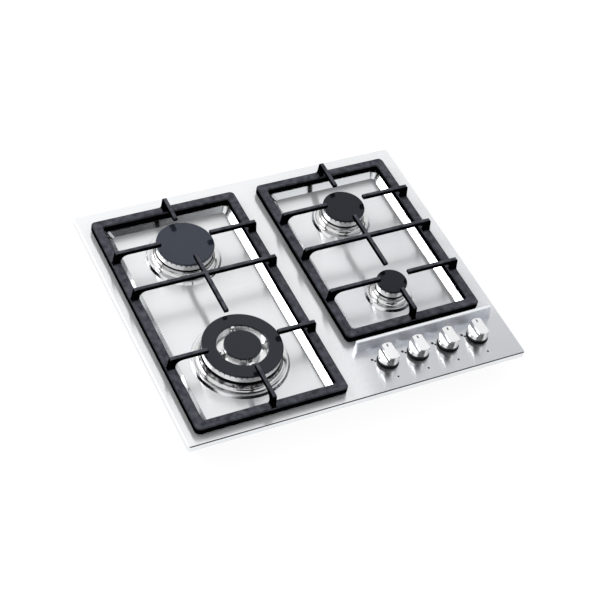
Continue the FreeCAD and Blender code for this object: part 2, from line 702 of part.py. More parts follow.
# ---- pan supports --------------------------------------------------------------------------------
def finger(length):
    """One finger with its post: x from the frame's outer edge, z from the bar's top face."""
    rise = FINGER_RISE
    under = rise - FINGER_THICKNESS
    lean = POST_INSET + POST_LEAN
    post_in = POST_INSET + POST_DEPTH
    k = math.sqrt(0.5)
    shoulder = V(lean + POST_SHOULDER_R * (1 - k), 0, rise - POST_SHOULDER_R * (1 - k))
    arch = V(post_in + ARCH_R * (1 - k), 0, under - ARCH_R * (1 - k))
    side = profile([
        V(POST_INSET, 0, -BURY),
        (V(lean, 0, rise - POST_SHOULDER_R), shoulder, V(lean + POST_SHOULDER_R, 0, rise)),
        V(length - TIP_CHAMFER, 0, rise),
        V(length, 0, rise - TIP_CHAMFER),
        V(length, 0, under + TIP_CHAMFER),
        V(length - TIP_CHAMFER, 0, under),
        (V(post_in + ARCH_R, 0, under), arch, V(post_in, 0, under - ARCH_R)),
        V(post_in, 0, -BURY),
    ])
    half = FINGER_WIDTH / 2
    foot = half + FLARE_R
    plan = side.extrude(V(0, 2 * foot, 0))
    plan.translate(V(0, -foot, 0))
    start = -OVERCUT
    bend = V(start, foot - FLARE_R * k, FLARE_R * (1 - k))
    front = profile([
        (V(start, half, FLARE_R), bend, V(start, foot, 0)),
        V(start, foot, -BURY),
        V(start, -foot, -BURY),
        (V(start, -foot, 0), V(start, -bend.y, bend.z), V(start, -half, FLARE_R)),
        V(start, -half, rise - FINGER_EDGE),
        V(start, -half + FINGER_EDGE, rise),
        V(start, half - FINGER_EDGE, rise),
        V(start, half, rise - FINGER_EDGE),
    ]).extrude(V(length + 2 * OVERCUT, 0, 0))
    return plan.common(front)


def placed_finger(length, x, y, degrees):
    """A finger turned to point inward from the point on the frame's outer edge."""
    shape = finger(length)
    shape.rotate(V(0, 0, 0), UP, degrees)
    shape.translate(V(x, y, BAR_TOP))
    return shape


def centre_bar(x, y0, y1):
    """The straight bar between two burners, with chamfered top edges and ends."""
    half = FINGER_WIDTH / 2
    top = BAR_TOP + FINGER_RISE
    under = top - FINGER_THICKNESS
    c = FINGER_EDGE
    outline = [(-half, under), (half, under), (half, top - c), (half - c, top), (c - half, top),
               (-half, top - c)]
    wire = Part.makePolygon([V(x + u, y0, z) for u, z in outline + outline[:1]])
    bar = Part.Face(wire).extrude(V(0, y1 - y0, 0))
    t = TIP_CHAMFER
    side = [(y0, under + t), (y0, top - t), (y0 + t, top), (y1 - t, top), (y1, top - t), (y1, under + t),
            (y1 - t, under), (y0 + t, under)]
    wire = Part.makePolygon([V(x - half, y, z) for y, z in side + side[:1]])
    return bar.common(Part.Face(wire).extrude(V(FINGER_WIDTH, 0, 0)))


def frame_bars(rect):
    """The rectangular frame of a pan support, with chamfered upper edges."""
    c = BAR_CHAMFER
    low = BAR_TOP - c
    inner = inset(rect, BAR_WIDTH)
    outside = slab(rect, BAR_CORNER_R, BAR_BOTTOM, low)
    outside = outside.fuse(sloped(rect, BAR_CORNER_R, low, inset(rect, c), BAR_CORNER_R - c, BAR_TOP))
    inside = slab(inner, BAR_INNER_R, BAR_BOTTOM - OVERCUT, low)
    inside = inside.fuse(sloped(inner, BAR_INNER_R, low, inset(inner, -c), BAR_INNER_R + c, BAR_TOP))
    return outside.cut(inside).removeSplitter()


def foot_points(rect):
    """Where the four rubber feet of a pan support sit."""
    spot = inset(rect, BAR_WIDTH / 2)
    return [(spot.x0, spot.y0), (spot.x1, spot.y0), (spot.x0, spot.y1), (spot.x1, spot.y1)]


def pan_support(rect, centre_x, back, back_tips, front, front_tips, cross):
    """A cast pan support: frame, fingers round two burners, a cross bar and a centre bar."""
    parts = [frame_bars(rect)]
    for row, tips in ((back, back_tips), (front, front_tips)):
        parts.append(placed_finger(centre_x - tips["left"] - rect.x0, rect.x0, row, 0))
        parts.append(placed_finger(rect.x1 - centre_x - tips["right"], rect.x1, row, 180))
    parts.append(placed_finger(rect.y1 - back - back_tips["back"], centre_x, rect.y1, 270))
    parts.append(placed_finger(front - front_tips["front"] - rect.y0, centre_x, rect.y0, 90))
    parts.append(placed_finger(centre_x - rect.x0 + CROSS_LAP, rect.x0, cross, 0))
    parts.append(placed_finger(rect.x1 - centre_x + CROSS_LAP, rect.x1, cross, 180))
    parts.append(centre_bar(centre_x, front + front_tips["back"], back - back_tips["front"]))
    support = fused(parts)
    top = BAR_BOTTOM + FOOT_STEM_LENGTH
    stems = [cylinder(x, y, BAR_BOTTOM - OVERCUT, top, FOOT_STEM_R + FOOT_CLEARANCE)
             for x, y in foot_points(rect)]
    return support.cut(stems)


def support_foot(x, y):
    """Rubber foot with a stem that plugs into the frame."""
    pad = cylinder(x, y, PLATE_TOP + FOOT_GAP, BAR_BOTTOM, FOOT_R)
    stem = cylinder(x, y, BAR_BOTTOM, BAR_BOTTOM + FOOT_STEM_LENGTH - FOOT_STEM_GAP, FOOT_STEM_R)
    return pad.fuse(stem).removeSplitter()


# ---- burners -------------------------------------------------------------------------------------
def base_radius(burner):
    """Radius of a burner base at its top."""
    return burner.cap_r - BASE_RECESS


def pocket_radius(burner):
    """Radius of the pocket in the base that takes the spreader's skirt."""
    return base_radius(burner) - BASE_WALL


def cap_bottom(burner):
    """Level of the cap's underside."""
    return PLATE_TOP + burner.cap_top - CAP_THICKNESS


def spreader_bottom(burner):
    """Level where the spreader's wall starts, above an open gap."""
    return cap_bottom(burner) - SPREADER_HEIGHT


def burner_base(burner):
    """Die-cast base: flared flange on the seat, pocket for the spreader, neck and injector wall."""
    r = base_radius(burner)
    rim = burner.cap_r + BASE_FLANGE
    pocket = pocket_radius(burner)
    floor = PLATE_TOP - BASE_POCKET
    high = PLATE_TOP + BASE_TOP
    low = SEAT_TOP + BASE_FLANGE_EDGE
    bottom = BASE_LEVEL
    wall_top = bottom + INJECTOR_WALL
    sweep = (r + (rim - r) * BASE_SWEEP_OUT, low + (high - BASE_LAND - low) * BASE_SWEEP_UP)
    base = turned([
        (burner.bore_r, floor), (pocket, floor), (pocket, high), (r, high),
        ((r, high - BASE_LAND), sweep, (rim, low)), (rim, SEAT_TOP), (burner.neck_r, SEAT_TOP),
        (burner.neck_r, bottom), (INJECTOR_R, bottom), (INJECTOR_R, wall_top),
        (burner.bore_r, wall_top),
    ], burner.x, burner.y)
    start = SEAT_TOP - OVERCUT
    holes = [cylinder(x, y, start, floor + OVERCUT, BURNER_SCREW_HOLE_R) for x, y in screw_points(burner)]
    for angle, probe_r in ((SPARK_ANGLE, SPARK_SLEEVE_R), (PROBE_ANGLE, PROBE_R)):
        x, y = probe_point(burner, angle)
        holes.append(cylinder(x, y, start, high + OVERCUT, probe_r + PROBE_CLEARANCE))
    return base.cut(holes)


def radial_slots(x, y, r0, r1, z0, z1, count, turn=0.0):
    """Flame ports: thin boxes that cross a ring wall, evenly spaced from the angle turn."""
    slots = []
    for place in range(count):
        slot = box(r0, -PORT_WIDTH / 2, z0, r1, PORT_WIDTH / 2, z1)
        slot.rotate(V(0, 0, 0), UP, turn + 360.0 * place / count)
        slot.translate(V(x, y, 0))
        slots.append(slot)
    return slots


def flame_spreader(burner):
    """Ring with flame ports and a skirt that drops into the base."""
    r = burner.cap_r - SPREADER_INSET
    skirt = pocket_radius(burner) - SPREADER_CLEARANCE
    low = PLATE_TOP + SKIRT_REACH
    step = spreader_bottom(burner)
    top = cap_bottom(burner)
    ring = turned([
        (r - SPREADER_WALL, top), (skirt - SPREADER_SKIRT, step), (skirt - SPREADER_SKIRT, low),
        (skirt, low), (skirt, step), (r, step), (r, top),
    ], burner.x, burner.y)
    slots = radial_slots(burner.x, burner.y, r - SPREADER_WALL - OVERCUT, r + OVERCUT, top - PORT_HEIGHT,
                         top + OVERCUT, burner.ports)
    return ring.cut(slots)


def wok_spreader():
    """Two-ring spreader: an outer channel, four bridges with nubs and a crown in the middle."""
    x, y = WOK.x, WOK.y
    r = WOK.cap_r - SPREADER_INSET
    low = PLATE_TOP + SKIRT_REACH
    skirt = pocket_radius(WOK) - SPREADER_CLEARANCE
    step = spreader_bottom(WOK)
    floor = PLATE_TOP + WOK_FLOOR
    under = floor - WOK_FLOOR_THICKNESS
    top = cap_bottom(WOK)
    inner_top = top + WOK_INNER_CAP_STEP
    crown = WOK_INNER_CAP_R - SPREADER_INSET
    ring_in = WOK_RING_INNER_R + SPREADER_INSET
    parts = [
        turned([(skirt - SPREADER_SKIRT, low), (skirt, low), (skirt, step), (r, step), (r, top),
                (r - WOK_WALL, top), (r - WOK_WALL, floor), (crown - WOK_WALL, floor),
                (crown - WOK_WALL, under), (skirt - SPREADER_SKIRT, under)], x, y),
        turned([(ring_in, under), (ring_in + WOK_WALL, under), (ring_in + WOK_WALL, top), (ring_in, top)],
               x, y),
        turned([(crown - WOK_WALL, under), (crown, under), (crown, inner_top), (crown - WOK_WALL, inner_top)],
               x, y),
    ]
    nub_end = WOK_RING_INNER_R - SPREADER_INSET
    for place in range(WOK_BRIDGES):
        half = WOK_BRIDGE_WIDTH / 2
        bridge = box(crown - WOK_BRIDGE_LAP, -half, under, ring_in + WOK_BRIDGE_LAP, half,
                     top - WOK_BRIDGE_DROP)
        half = WOK_NUB_WIDTH / 2
        bridge = bridge.fuse(box(nub_end - WOK_NUB_DEPTH, -half, under, nub_end, half, top + WOK_NUB_RISE))
        bridge.rotate(V(0, 0, 0), UP, 360.0 * place / WOK_BRIDGES)
        bridge.translate(V(x, y, 0))
        parts.append(bridge)
    turn = 180.0 / WOK_INNER_PORTS
    low = top - PORT_HEIGHT
    high = top + OVERCUT
    slots = radial_slots(x, y, r - WOK_WALL - OVERCUT, r + OVERCUT, low, high, WOK.ports)
    slots += radial_slots(x, y, ring_in - OVERCUT, ring_in + WOK_WALL + OVERCUT, low, high,
                          WOK_INNER_PORTS, turn)
    slots += radial_slots(x, y, crown - WOK_WALL - OVERCUT, crown + OVERCUT, inner_top - PORT_HEIGHT,
                          inner_top + OVERCUT, WOK_CROWN_PORTS, turn)
    return fused(parts).cut(slots)


def round_cap(x, y, r, bottom, locator_r):
    """Enamelled disc cap with a softened edge and a ring underneath that centres it."""
    top = bottom + CAP_THICKNESS
    disc = cylinder(x, y, bottom + CAP_GAP, top, r)
    rim = [edge for edge in disc.Edges if edge.Closed and edge.BoundBox.ZMin > top - NUDGE]
    disc = disc.makeFillet(CAP_EDGE_R, rim)
    ring = cylinder(x, y, bottom - CAP_LOCATOR, bottom + CAP_GAP, locator_r)
    hole_r = locator_r - CAP_LOCATOR_WALL
    ring = ring.cut(cylinder(x, y, bottom - CAP_LOCATOR - OVERCUT, bottom + OVERCUT, hole_r))
    return fused([disc, ring])


def burner_cap(burner):
    """Cap of a single-ring burner."""
    locator = burner.cap_r - SPREADER_INSET - SPREADER_WALL - SPREADER_CLEARANCE
    return round_cap(burner.x, burner.y, burner.cap_r, cap_bottom(burner), locator)


def wok_outer_cap():
    """Ring-shaped cap over the wok burner's outer channel."""
    bottom = cap_bottom(WOK)
    top = PLATE_TOP + WOK.cap_top
    ring = cylinder(WOK.x, WOK.y, bottom + CAP_GAP, top, WOK.cap_r)
    ring = ring.cut(cylinder(WOK.x, WOK.y, bottom - OVERCUT, top + OVERCUT, WOK_RING_INNER_R))
    rims = [edge for edge in ring.Edges if edge.Closed and edge.BoundBox.ZMin > top - NUDGE]
    ring = ring.makeFillet(CAP_EDGE_R, rims)
    r = WOK.cap_r - SPREADER_INSET - WOK_WALL - SPREADER_CLEARANCE
    locator = cylinder(WOK.x, WOK.y, bottom - CAP_LOCATOR, bottom + CAP_GAP, r)
    low = bottom - CAP_LOCATOR - OVERCUT
    locator = locator.cut(cylinder(WOK.x, WOK.y, low, bottom + OVERCUT, r - CAP_LOCATOR_WALL))
    return fused([ring, locator])


def wok_inner_cap():
    """Disc cap over the wok burner's crown."""
    locator = WOK_INNER_CAP_R - SPREADER_INSET - WOK_WALL - SPREADER_CLEARANCE
    return round_cap(WOK.x, WOK.y, WOK_INNER_CAP_R, cap_bottom(WOK) + WOK_INNER_CAP_STEP, locator)


def injector(burner):
    """Brass jet screwed into the base's lower wall."""
    bottom = BASE_LEVEL
    wall_top = bottom + INJECTOR_WALL
    jet = cylinder(burner.x, burner.y, bottom + INJECTOR_RECESS, wall_top, INJECTOR_R)
    jet = jet.fuse(hexagon(burner.x, burner.y, wall_top, wall_top + INJECTOR_HEIGHT, INJECTOR_HEX_R))
    return jet.cut(cylinder(burner.x, burner.y, bottom, PLATE_TOP, INJECTOR_JET_R)).removeSplitter()


def burner_screw(x, y):
    """Screw that holds a burner base down on the plate."""
    floor = PLATE_TOP - BASE_POCKET
    shank = cylinder(x, y, PLATE_TOP - BURNER_SCREW_END, floor, BURNER_SCREW_R)
    head = cylinder(x, y, floor, floor + BURNER_SCREW_HEAD, BURNER_SCREW_HEAD_R)
    return shank.fuse(head).removeSplitter()


def burner_nut(x, y):
    """Nut under the seat for a burner screw."""
    top = SEAT_TOP - SHEET
    nut = hexagon(x, y, top - BURNER_NUT_HEIGHT, top, BURNER_NUT_R)
    return nut.cut(cylinder(x, y, top - BURNER_NUT_HEIGHT - OVERCUT, top + OVERCUT, BURNER_SCREW_R))


def spark_electrode(burner):
    """Ceramic sleeve with a steel tip beside the flame ports."""
    x, y = probe_point(burner, SPARK_ANGLE)
    sleeve = cylinder(x, y, PLATE_TOP - PROBE_BOTTOM, PLATE_TOP + SPARK_SLEEVE_TOP, SPARK_SLEEVE_R)
    tip = cylinder(x, y, PLATE_TOP + SPARK_SLEEVE_TOP, PLATE_TOP + SPARK_TIP_TOP, SPARK_TIP_R)
    collar = probe_collar(x, y)
    return fused([sleeve, tip, collar])


def probe_collar(x, y):
    """Collar that stops a probe under the plate."""
    top = SEAT_TOP - SHEET
    return cylinder(x, y, top - PROBE_COLLAR, top, PROBE_COLLAR_R)


def thermocouple(burner):
    """Flame-failure probe beside the flame ports."""
    x, y = probe_point(burner, PROBE_ANGLE)
    stem = cylinder(x, y, PLATE_TOP - PROBE_BOTTOM, PLATE_TOP + PROBE_TOP, PROBE_R)
    return fused([stem, probe_collar(x, y)])


# ---- knobs ---------------------------------------------------------------------------------------
def d_shaft(x, y, z0, z1, grow):
    """Round shaft with one flat, grown outward by a clearance."""
    shaft = cylinder(x, y, z0, z1, SHAFT_R + grow)
    edge = y + SHAFT_FLAT + grow
    reach = SHAFT_R + grow + OVERCUT
    return shaft.cut(box(x - reach, edge, z0 - OVERCUT, x + reach, y + reach, z1 + OVERCUT))


def knob(x):
    """Metal knob: a barrel scooped away on both sides of a straight grip, with a pointer groove."""
    y = KNOB_ROW
    bottom = PLATE_TOP + KNOB_BOTTOM
    top = PLATE_TOP + KNOB_TOP
    pocket_top = PLATE_TOP + KNOB_POCKET_TOP
    barrel = cylinder(x, y, bottom, top, KNOB_R)
    barrel = barrel.makeFillet(KNOB_EDGE_R, [edge for edge in barrel.Edges if edge.Closed])
    body = barrel.cut([scoop(x, side) for side in (-1, 1)])
    body = body.cut(cylinder(x, y, bottom - OVERCUT, pocket_top, KNOB_POCKET_R))
    hub_low = PLATE_TOP + BEZEL_COLLAR_TOP + PUSH_TRAVEL + HUB_GAP
    body = body.fuse(cylinder(x, y, hub_low, pocket_top + OVERCUT, KNOB_HUB_R))
    body = body.cut(d_shaft(x, y, bottom - OVERCUT, PLATE_TOP + KNOB_BORE_TOP, KNOB_FIT))
    line_y = y + KNOB_R - KNOB_LINE_END - KNOB_LINE_LENGTH
    line = box(x - KNOB_LINE_WIDTH / 2, line_y, top - KNOB_LINE_DEPTH, x + KNOB_LINE_WIDTH / 2,
               line_y + KNOB_LINE_LENGTH, top + OVERCUT)
    return body.cut(line).removeSplitter()


def scoop(x, side):
    """The space beside a knob's grip: upright at the grip, then a hollow curve out to the edge."""
    grip = KNOB_GRIP_WIDTH / 2
    reach = KNOB_R + KNOB_SCOOP_REACH
    k = math.sqrt(0.5)
    high = PLATE_TOP + KNOB_SCOOP_TOP
    low = PLATE_TOP + KNOB_EDGE_TOP
    r_x = reach - grip
    r_z = high - low
    middle = (grip + r_x * (1 - k), high - r_z * k)
    face = profile([
        V(side * grip, 0, PLATE_TOP + KNOB_TOP + OVERCUT),
        (V(side * grip, 0, high), V(side * middle[0], 0, middle[1]), V(side * reach, 0, low)),
        V(side * reach, 0, PLATE_TOP + KNOB_TOP + OVERCUT),
    ])
    space = face.extrude(V(0, 2 * reach, 0))
    space.translate(V(x, KNOB_ROW - reach, 0))
    return space


def knob_bezel(x):
    """Black ring under a knob with a collar that keeps spills out of the plate's hole."""
    y = KNOB_ROW
    ring = cylinder(x, y, PLATE_TOP, PLATE_TOP + BEZEL_HEIGHT, BEZEL_R)
    collar = cylinder(x, y, PLATE_TOP, PLATE_TOP + BEZEL_COLLAR_TOP, BEZEL_COLLAR_R)
    spigot = cylinder(x, y, PLATE_UNDER - BEZEL_SPIGOT_REACH, PLATE_TOP, BEZEL_SPIGOT_R)
    body = fused([ring, collar, spigot])
    top = PLATE_TOP + BEZEL_COLLAR_TOP + OVERCUT
    return body.cut(cylinder(x, y, RIM_BOTTOM, top, SHAFT_R + SHAFT_CLEARANCE))


# ---- taps ----------------------------------------------------------------------------------------
def spindle(x):
    """Shaft with a D end for the knob, a collar for the spring and a square tongue for the plug."""
    y = KNOB_ROW
    top = PLATE_TOP + SHAFT_TOP
    upper = d_shaft(x, y, top - SHAFT_FLAT_LENGTH, top, 0.0)
    shaft = cylinder(x, y, PLATE_TOP - TONGUE_TOP, top - SHAFT_FLAT_LENGTH, SHAFT_R)
    collar_top = PLATE_TOP - COLLAR_TOP
    collar = cylinder(x, y, collar_top - COLLAR_THICKNESS, collar_top, COLLAR_R)
    half = TONGUE / 2
    tongue = box(x - half, y - half, PLATE_TOP - TONGUE_BOTTOM, x + half, y + half, PLATE_TOP - TONGUE_TOP)
    return fused([upper, shaft, collar, tongue])


def return_spring(x):
    """Space of the coil spring that lifts the spindle again."""
    low = PLATE_TOP - PLUG_POCKET_BOTTOM
    high = PLATE_TOP - COLLAR_TOP - COLLAR_THICKNESS
    sleeve = cylinder(x, KNOB_ROW, low, high, SPRING_OUTER_R)
    return sleeve.cut(cylinder(x, KNOB_ROW, low - OVERCUT, high + OVERCUT, SPRING_INNER_R))


def plug_cone(x, grow):
    """The tapered form of a plug, or of its seat when grown by the clearance."""
    height = PLUG_BOTTOM - PLUG_TOP
    return Part.makeCone(PLUG_BOTTOM_R + grow, PLUG_TOP_R + grow, height,
                         V(x, KNOB_ROW, PLATE_TOP - PLUG_BOTTOM), UP)


def tap_plug(x):
    """Tapered brass plug with a pocket, a square socket for the spindle and a gas port."""
    y = KNOB_ROW
    plug = plug_cone(x, -PLUG_CLEARANCE)
    half = TONGUE / 2 + TONGUE_FIT
    cuts = [
        cylinder(x, y, PLATE_TOP - PLUG_POCKET_BOTTOM, PLATE_TOP, PLUG_POCKET_R),
        box(x - half, y - half, PLATE_TOP - PLUG_SOCKET_BOTTOM, x + half, y + half, PLATE_TOP),
        rod_x(x - PLUG_TOP_R - OVERCUT, x, y, PLATE_TOP - PLUG_SOCKET_BOTTOM + PLUG_PORT_RISE, PLUG_PORT_R),
    ]
    return plug.cut(cuts)


def ear_points(x):
    """Where a tap's two cover screws stand."""
    half = TAP_SCREW_SPACING / 2
    return [(x - half, KNOB_ROW), (x + half, KNOB_ROW)]


def tap_body(x):
    """Brass body with a tapered seat, two screw ears, an inlet boss and an outlet boss."""
    y = KNOB_ROW
    top = PLATE_TOP - COVER_TOP - COVER_THICKNESS
    body = cylinder(x, y, PLATE_TOP - TAP_BOTTOM, top, TAP_R)
    ear_low = top - TAP_SCREW_LENGTH
    ears = [cylinder(ex, ey, ear_low, top, TAP_EAR_R) for ex, ey in ear_points(x)]
    half = TAP_SCREW_SPACING / 2
    web = box(x - half, y - TAP_WEB_WIDTH / 2, ear_low, x + half, y + TAP_WEB_WIDTH / 2, top)
    rail_y = y + RAIL_BEHIND
    rail_z = PLATE_TOP - RAIL_LEVEL
    outlet_z = PLATE_TOP - OUTLET_LEVEL
    inlet = rod_y(x, y, rail_y, rail_z, INLET_BOSS_R)
    outlet = rod_y(x, y, y + OUTLET_BOSS_REACH, outlet_z, OUTLET_BOSS_R)
    body = fused([body, web, inlet, outlet] + ears)
    cuts = [
        rod_x(x - INLET_BOSS_R - OVERCUT, x + INLET_BOSS_R + OVERCUT, rail_y, rail_z, RAIL_R),
        plug_cone(x, 0.0),
        cylinder(x, y, PLATE_TOP - PLUG_TOP - NUDGE, top + OVERCUT, PLUG_TOP_R),
        cylinder(x, y, PLATE_TOP - TAP_BOTTOM - OVERCUT, PLATE_TOP - PLUG_BOTTOM + NUDGE, ROD_HOLE_R),
        rod_y(x, y, rail_y, rail_z, PORT_R),
        rod_y(x, y, y + OUTLET_BOSS_REACH + OVERCUT, outlet_z, PORT_R),
    ]
    cuts += [cylinder(ex, ey, ear_low - OVERCUT, top + OVERCUT, TAP_SCREW_R) for ex, ey in ear_points(x)]
    return body.cut(cuts)


def tap_cover(x):
    """Cover plate that holds the plug and the spindle in the tap."""
    top = PLATE_TOP - COVER_TOP
    outline = Rect(x - COVER_LENGTH / 2, KNOB_ROW - COVER_WIDTH / 2, x + COVER_LENGTH / 2,
                   KNOB_ROW + COVER_WIDTH / 2)
    cover = slab(outline, COVER_CORNER_R, top - COVER_THICKNESS, top)
    low = top - COVER_THICKNESS - OVERCUT
    cuts = [cylinder(x, KNOB_ROW, low, PLATE_TOP, SHAFT_R + COVER_HOLE_CLEARANCE)]
    cuts += [cylinder(ex, ey, low, PLATE_TOP, TAP_SCREW_HOLE_R) for ex, ey in ear_points(x)]
    return cover.cut(cuts)


def tap_screw(x, y):
    """Screw from the bracket through the cover into a tap's ear."""
    seat = PLATE_TOP - BRACKET_WEB_TOP
    bottom = PLATE_TOP - COVER_TOP - COVER_THICKNESS - TAP_SCREW_LENGTH + TAP_SCREW_END_GAP
    shank = cylinder(x, y, bottom, seat, TAP_SCREW_R)
    return shank.fuse(cylinder(x, y, seat, seat + TAP_SCREW_HEAD, TAP_SCREW_HEAD_R)).removeSplitter()


def magnet_unit(x):
    """Flame-failure magnet screwed up into the tap's bottom."""
    top = PLATE_TOP - TAP_BOTTOM
    can = cylinder(x, KNOB_ROW, TRAY_SHEET + MAGNET_FLOOR_GAP, top, MAGNET_R)
    return can.fuse(hexagon(x, KNOB_ROW, top - MAGNET_NUT, top, MAGNET_NUT_R)).removeSplitter()


def ignition_switch(x):
    """Small switch beside the tap, worked when the spindle is pushed."""
    x0 = x + TAP_SCREW_SPACING / 2 + TAP_EAR_R + SWITCH_GAP
    top = PLATE_TOP - BRACKET_WEB_TOP - BRACKET_SHEET
    return box(x0, KNOB_ROW - SWITCH_LENGTH / 2, top - SWITCH_HEIGHT, x0 + SWITCH_WIDTH,
               KNOB_ROW + SWITCH_LENGTH / 2, top)


def tap_bracket():
    """Folded channel under the plate that carries the four taps."""
    x0 = KNOB_X[0] - BRACKET_END
    x1 = KNOB_X[-1] + BRACKET_END + SWITCH_WIDTH
    y0 = KNOB_ROW - BRACKET_HALF_DEPTH
    y1 = KNOB_ROW + BRACKET_HALF_DEPTH
    web_top = PLATE_TOP - BRACKET_WEB_TOP
    t = BRACKET_SHEET
    parts = [
        box(x0, y0, web_top - t, x1, y1, web_top),
        box(x0, y0, web_top - t, x1, y0 + t, PLATE_UNDER),
        box(x0, y1 - t, web_top - t, x1, y1, PLATE_UNDER),
        box(x0, y0 - BRACKET_LIP, PLATE_UNDER - t, x1, y0 + t, PLATE_UNDER),
        box(x0, y1 - t, PLATE_UNDER - t, x1, y1 + BRACKET_LIP, PLATE_UNDER),
    ]
    holes = [cylinder(x, KNOB_ROW, RIM_BOTTOM, PLATE_TOP, BRACKET_HOLE_R) for x in KNOB_X]
    for x in KNOB_X:
        holes += [cylinder(ex, ey, RIM_BOTTOM, PLATE_TOP, TAP_SCREW_HOLE_R) for ex, ey in ear_points(x)]
    return fused(parts).cut(holes)


# ---- gas rail, inlet and feed tubes --------------------------------------------------------------
def rail_path():
    """Centre line of the gas rail from its closed end to the inlet block."""
    y = KNOB_ROW + RAIL_BEHIND
    z = PLATE_TOP - RAIL_LEVEL
    end = INLET_Y - INLET_BLOCK_R + OVERCUT
    return [V(KNOB_X[0] - RAIL_START, y, z), V(RAIL_SIDE, y, z), V(RAIL_SIDE, end, z)]


def gas_rail():
    """Bent tube that feeds the taps, closed at its left end."""
    path = rail_path()
    rail = piped(path, RAIL_BEND_R, RAIL_R)
    bore = piped([path[0] + V(RAIL_END_WALL, 0, 0)] + path[1:], RAIL_BEND_R, RAIL_R - RAIL_WALL)
    reach = RAIL_R + OVERCUT
    z = path[0].z
    ports = [rod_y(x, path[0].y - reach, path[0].y, z, PORT_R) for x in KNOB_X]
    block = cylinder(RAIL_SIDE, INLET_Y, z - reach, z + reach, INLET_BLOCK_R)
    return rail.cut([bore, block] + ports)


def inlet_elbow():
    """Brass block that joins the rail to the threaded gas inlet in the tray's back wall."""
    z = PLATE_TOP - RAIL_LEVEL
    half = INLET_THREAD_R + INLET_BLOCK_MARGIN
    block = cylinder(RAIL_SIDE, INLET_Y, z - half, z + half, INLET_BLOCK_R)
    stub = rod_y(RAIL_SIDE, INLET_Y, TRAY.y1 + STUB_LENGTH, z, INLET_THREAD_R)
    collar = rod_y(RAIL_SIDE, INLET_Y, TRAY.y1 - TRAY_SHEET, z, INLET_THREAD_R + INLET_COLLAR)
    nut_end = TRAY.y1 + LOCKNUT_THICKNESS
    relief_end = nut_end + THREAD_RELIEF
    relief = rod_y(RAIL_SIDE, nut_end, relief_end, z, INLET_THREAD_R + OVERCUT)
    relief = relief.cut(rod_y(RAIL_SIDE, nut_end, relief_end, z, INLET_THREAD_R - THREAD_RELIEF_DEPTH))
    cuts = [
        relief,
        rod_y(RAIL_SIDE, INLET_Y, TRAY.y1 + STUB_LENGTH + OVERCUT, z, INLET_BORE_R),
        rod_y(RAIL_SIDE, INLET_Y - INLET_BLOCK_R - OVERCUT, INLET_Y, z, RAIL_R - RAIL_WALL),
    ]
    return fused([block, stub, collar]).cut(cuts)


def inlet_locknut():
    """Nut that clamps the inlet to the tray's back wall."""
    nut = hexagon(0, 0, 0, LOCKNUT_THICKNESS, LOCKNUT_R)
    nut = nut.cut(cylinder(0, 0, -OVERCUT, LOCKNUT_THICKNESS + OVERCUT, INLET_THREAD_R))
    nut.rotate(V(0, 0, 0), RIGHT, -90)
    nut.translate(V(RAIL_SIDE, TRAY.y1, PLATE_TOP - RAIL_LEVEL))
    return nut


def tube_route(burner):
    """Centre line from a tap's outlet down to the tray's floor and up under its burner."""
    x = burner.tap_x
    high = PLATE_TOP - OUTLET_LEVEL
    low = TUBE_LEVEL
    crossing = REAR_ROW - TUBE_CROSSING_GAP
    start = KNOB_ROW + OUTLET_BOSS_REACH
    drop = KNOB_ROW + TUBE_DROP
    turns = {
        "wok": [(x, WOK_ROW)],
        "rapid": [(x, crossing), (LEFT_COLUMN + TUBE_ASIDE, crossing),
                  (LEFT_COLUMN + TUBE_ASIDE, REAR_ROW)],
        "small": [(x, SMALL_ROW)],
        "medium": [(x, REAR_ROW)],
    }[burner.name]
    points = [V(x, start, high), V(x, drop, high), V(x, drop, low)]
    points += [V(px, py, low) for px, py in turns]
    points += [V(burner.x, burner.y, low), V(burner.x, burner.y, BASE_LEVEL)]
    return points


def feed_tube(burner):
    """Bent aluminium tube from a tap to its burner."""
    points = tube_route(burner)
    tube = piped(points, TUBE_BEND_R, TUBE_R)
    return tube.cut(piped(points, TUBE_BEND_R, TUBE_BORE_R))


# ---- electrics -----------------------------------------------------------------------------------
def ignition_module():
    """Spark generator with four high-voltage terminals."""
    top = TRAY_SHEET + MODULE_HEIGHT
    parts = [slab(MODULE, MODULE_CORNER_R, TRAY_SHEET, top)]
    x = MODULE.x1 - MODULE_TERMINAL_FROM_EDGE
    middle = (MODULE.y0 + MODULE.y1) / 2
    for place in (-1.5, -0.5, 0.5, 1.5):
        y = middle + place * MODULE_TERMINAL_PITCH
        parts.append(cylinder(x, y, top, top + MODULE_TERMINAL_HEIGHT, MODULE_TERMINAL_R))
    return fused(parts)


def terminal_block():
    """Mains terminal block with a row of clamp holes."""
    block = slab(TERMINAL, TERMINAL_CORNER_R, TRAY_SHEET, TRAY_SHEET + TERMINAL_HEIGHT)
    pitch = (TERMINAL.x1 - TERMINAL.x0) / TERMINAL_WAYS
    holes = []
    for way in range(TERMINAL_WAYS):
        x = TERMINAL.x0 + pitch * (way + 0.5)
        holes.append(rod_y(x, TERMINAL.y1 - TERMINAL_HOLE_DEPTH, TERMINAL.y1 + OVERCUT,
                           TRAY_SHEET + TERMINAL_HEIGHT / 2, TERMINAL_HOLE_R))
    return block.cut(holes)


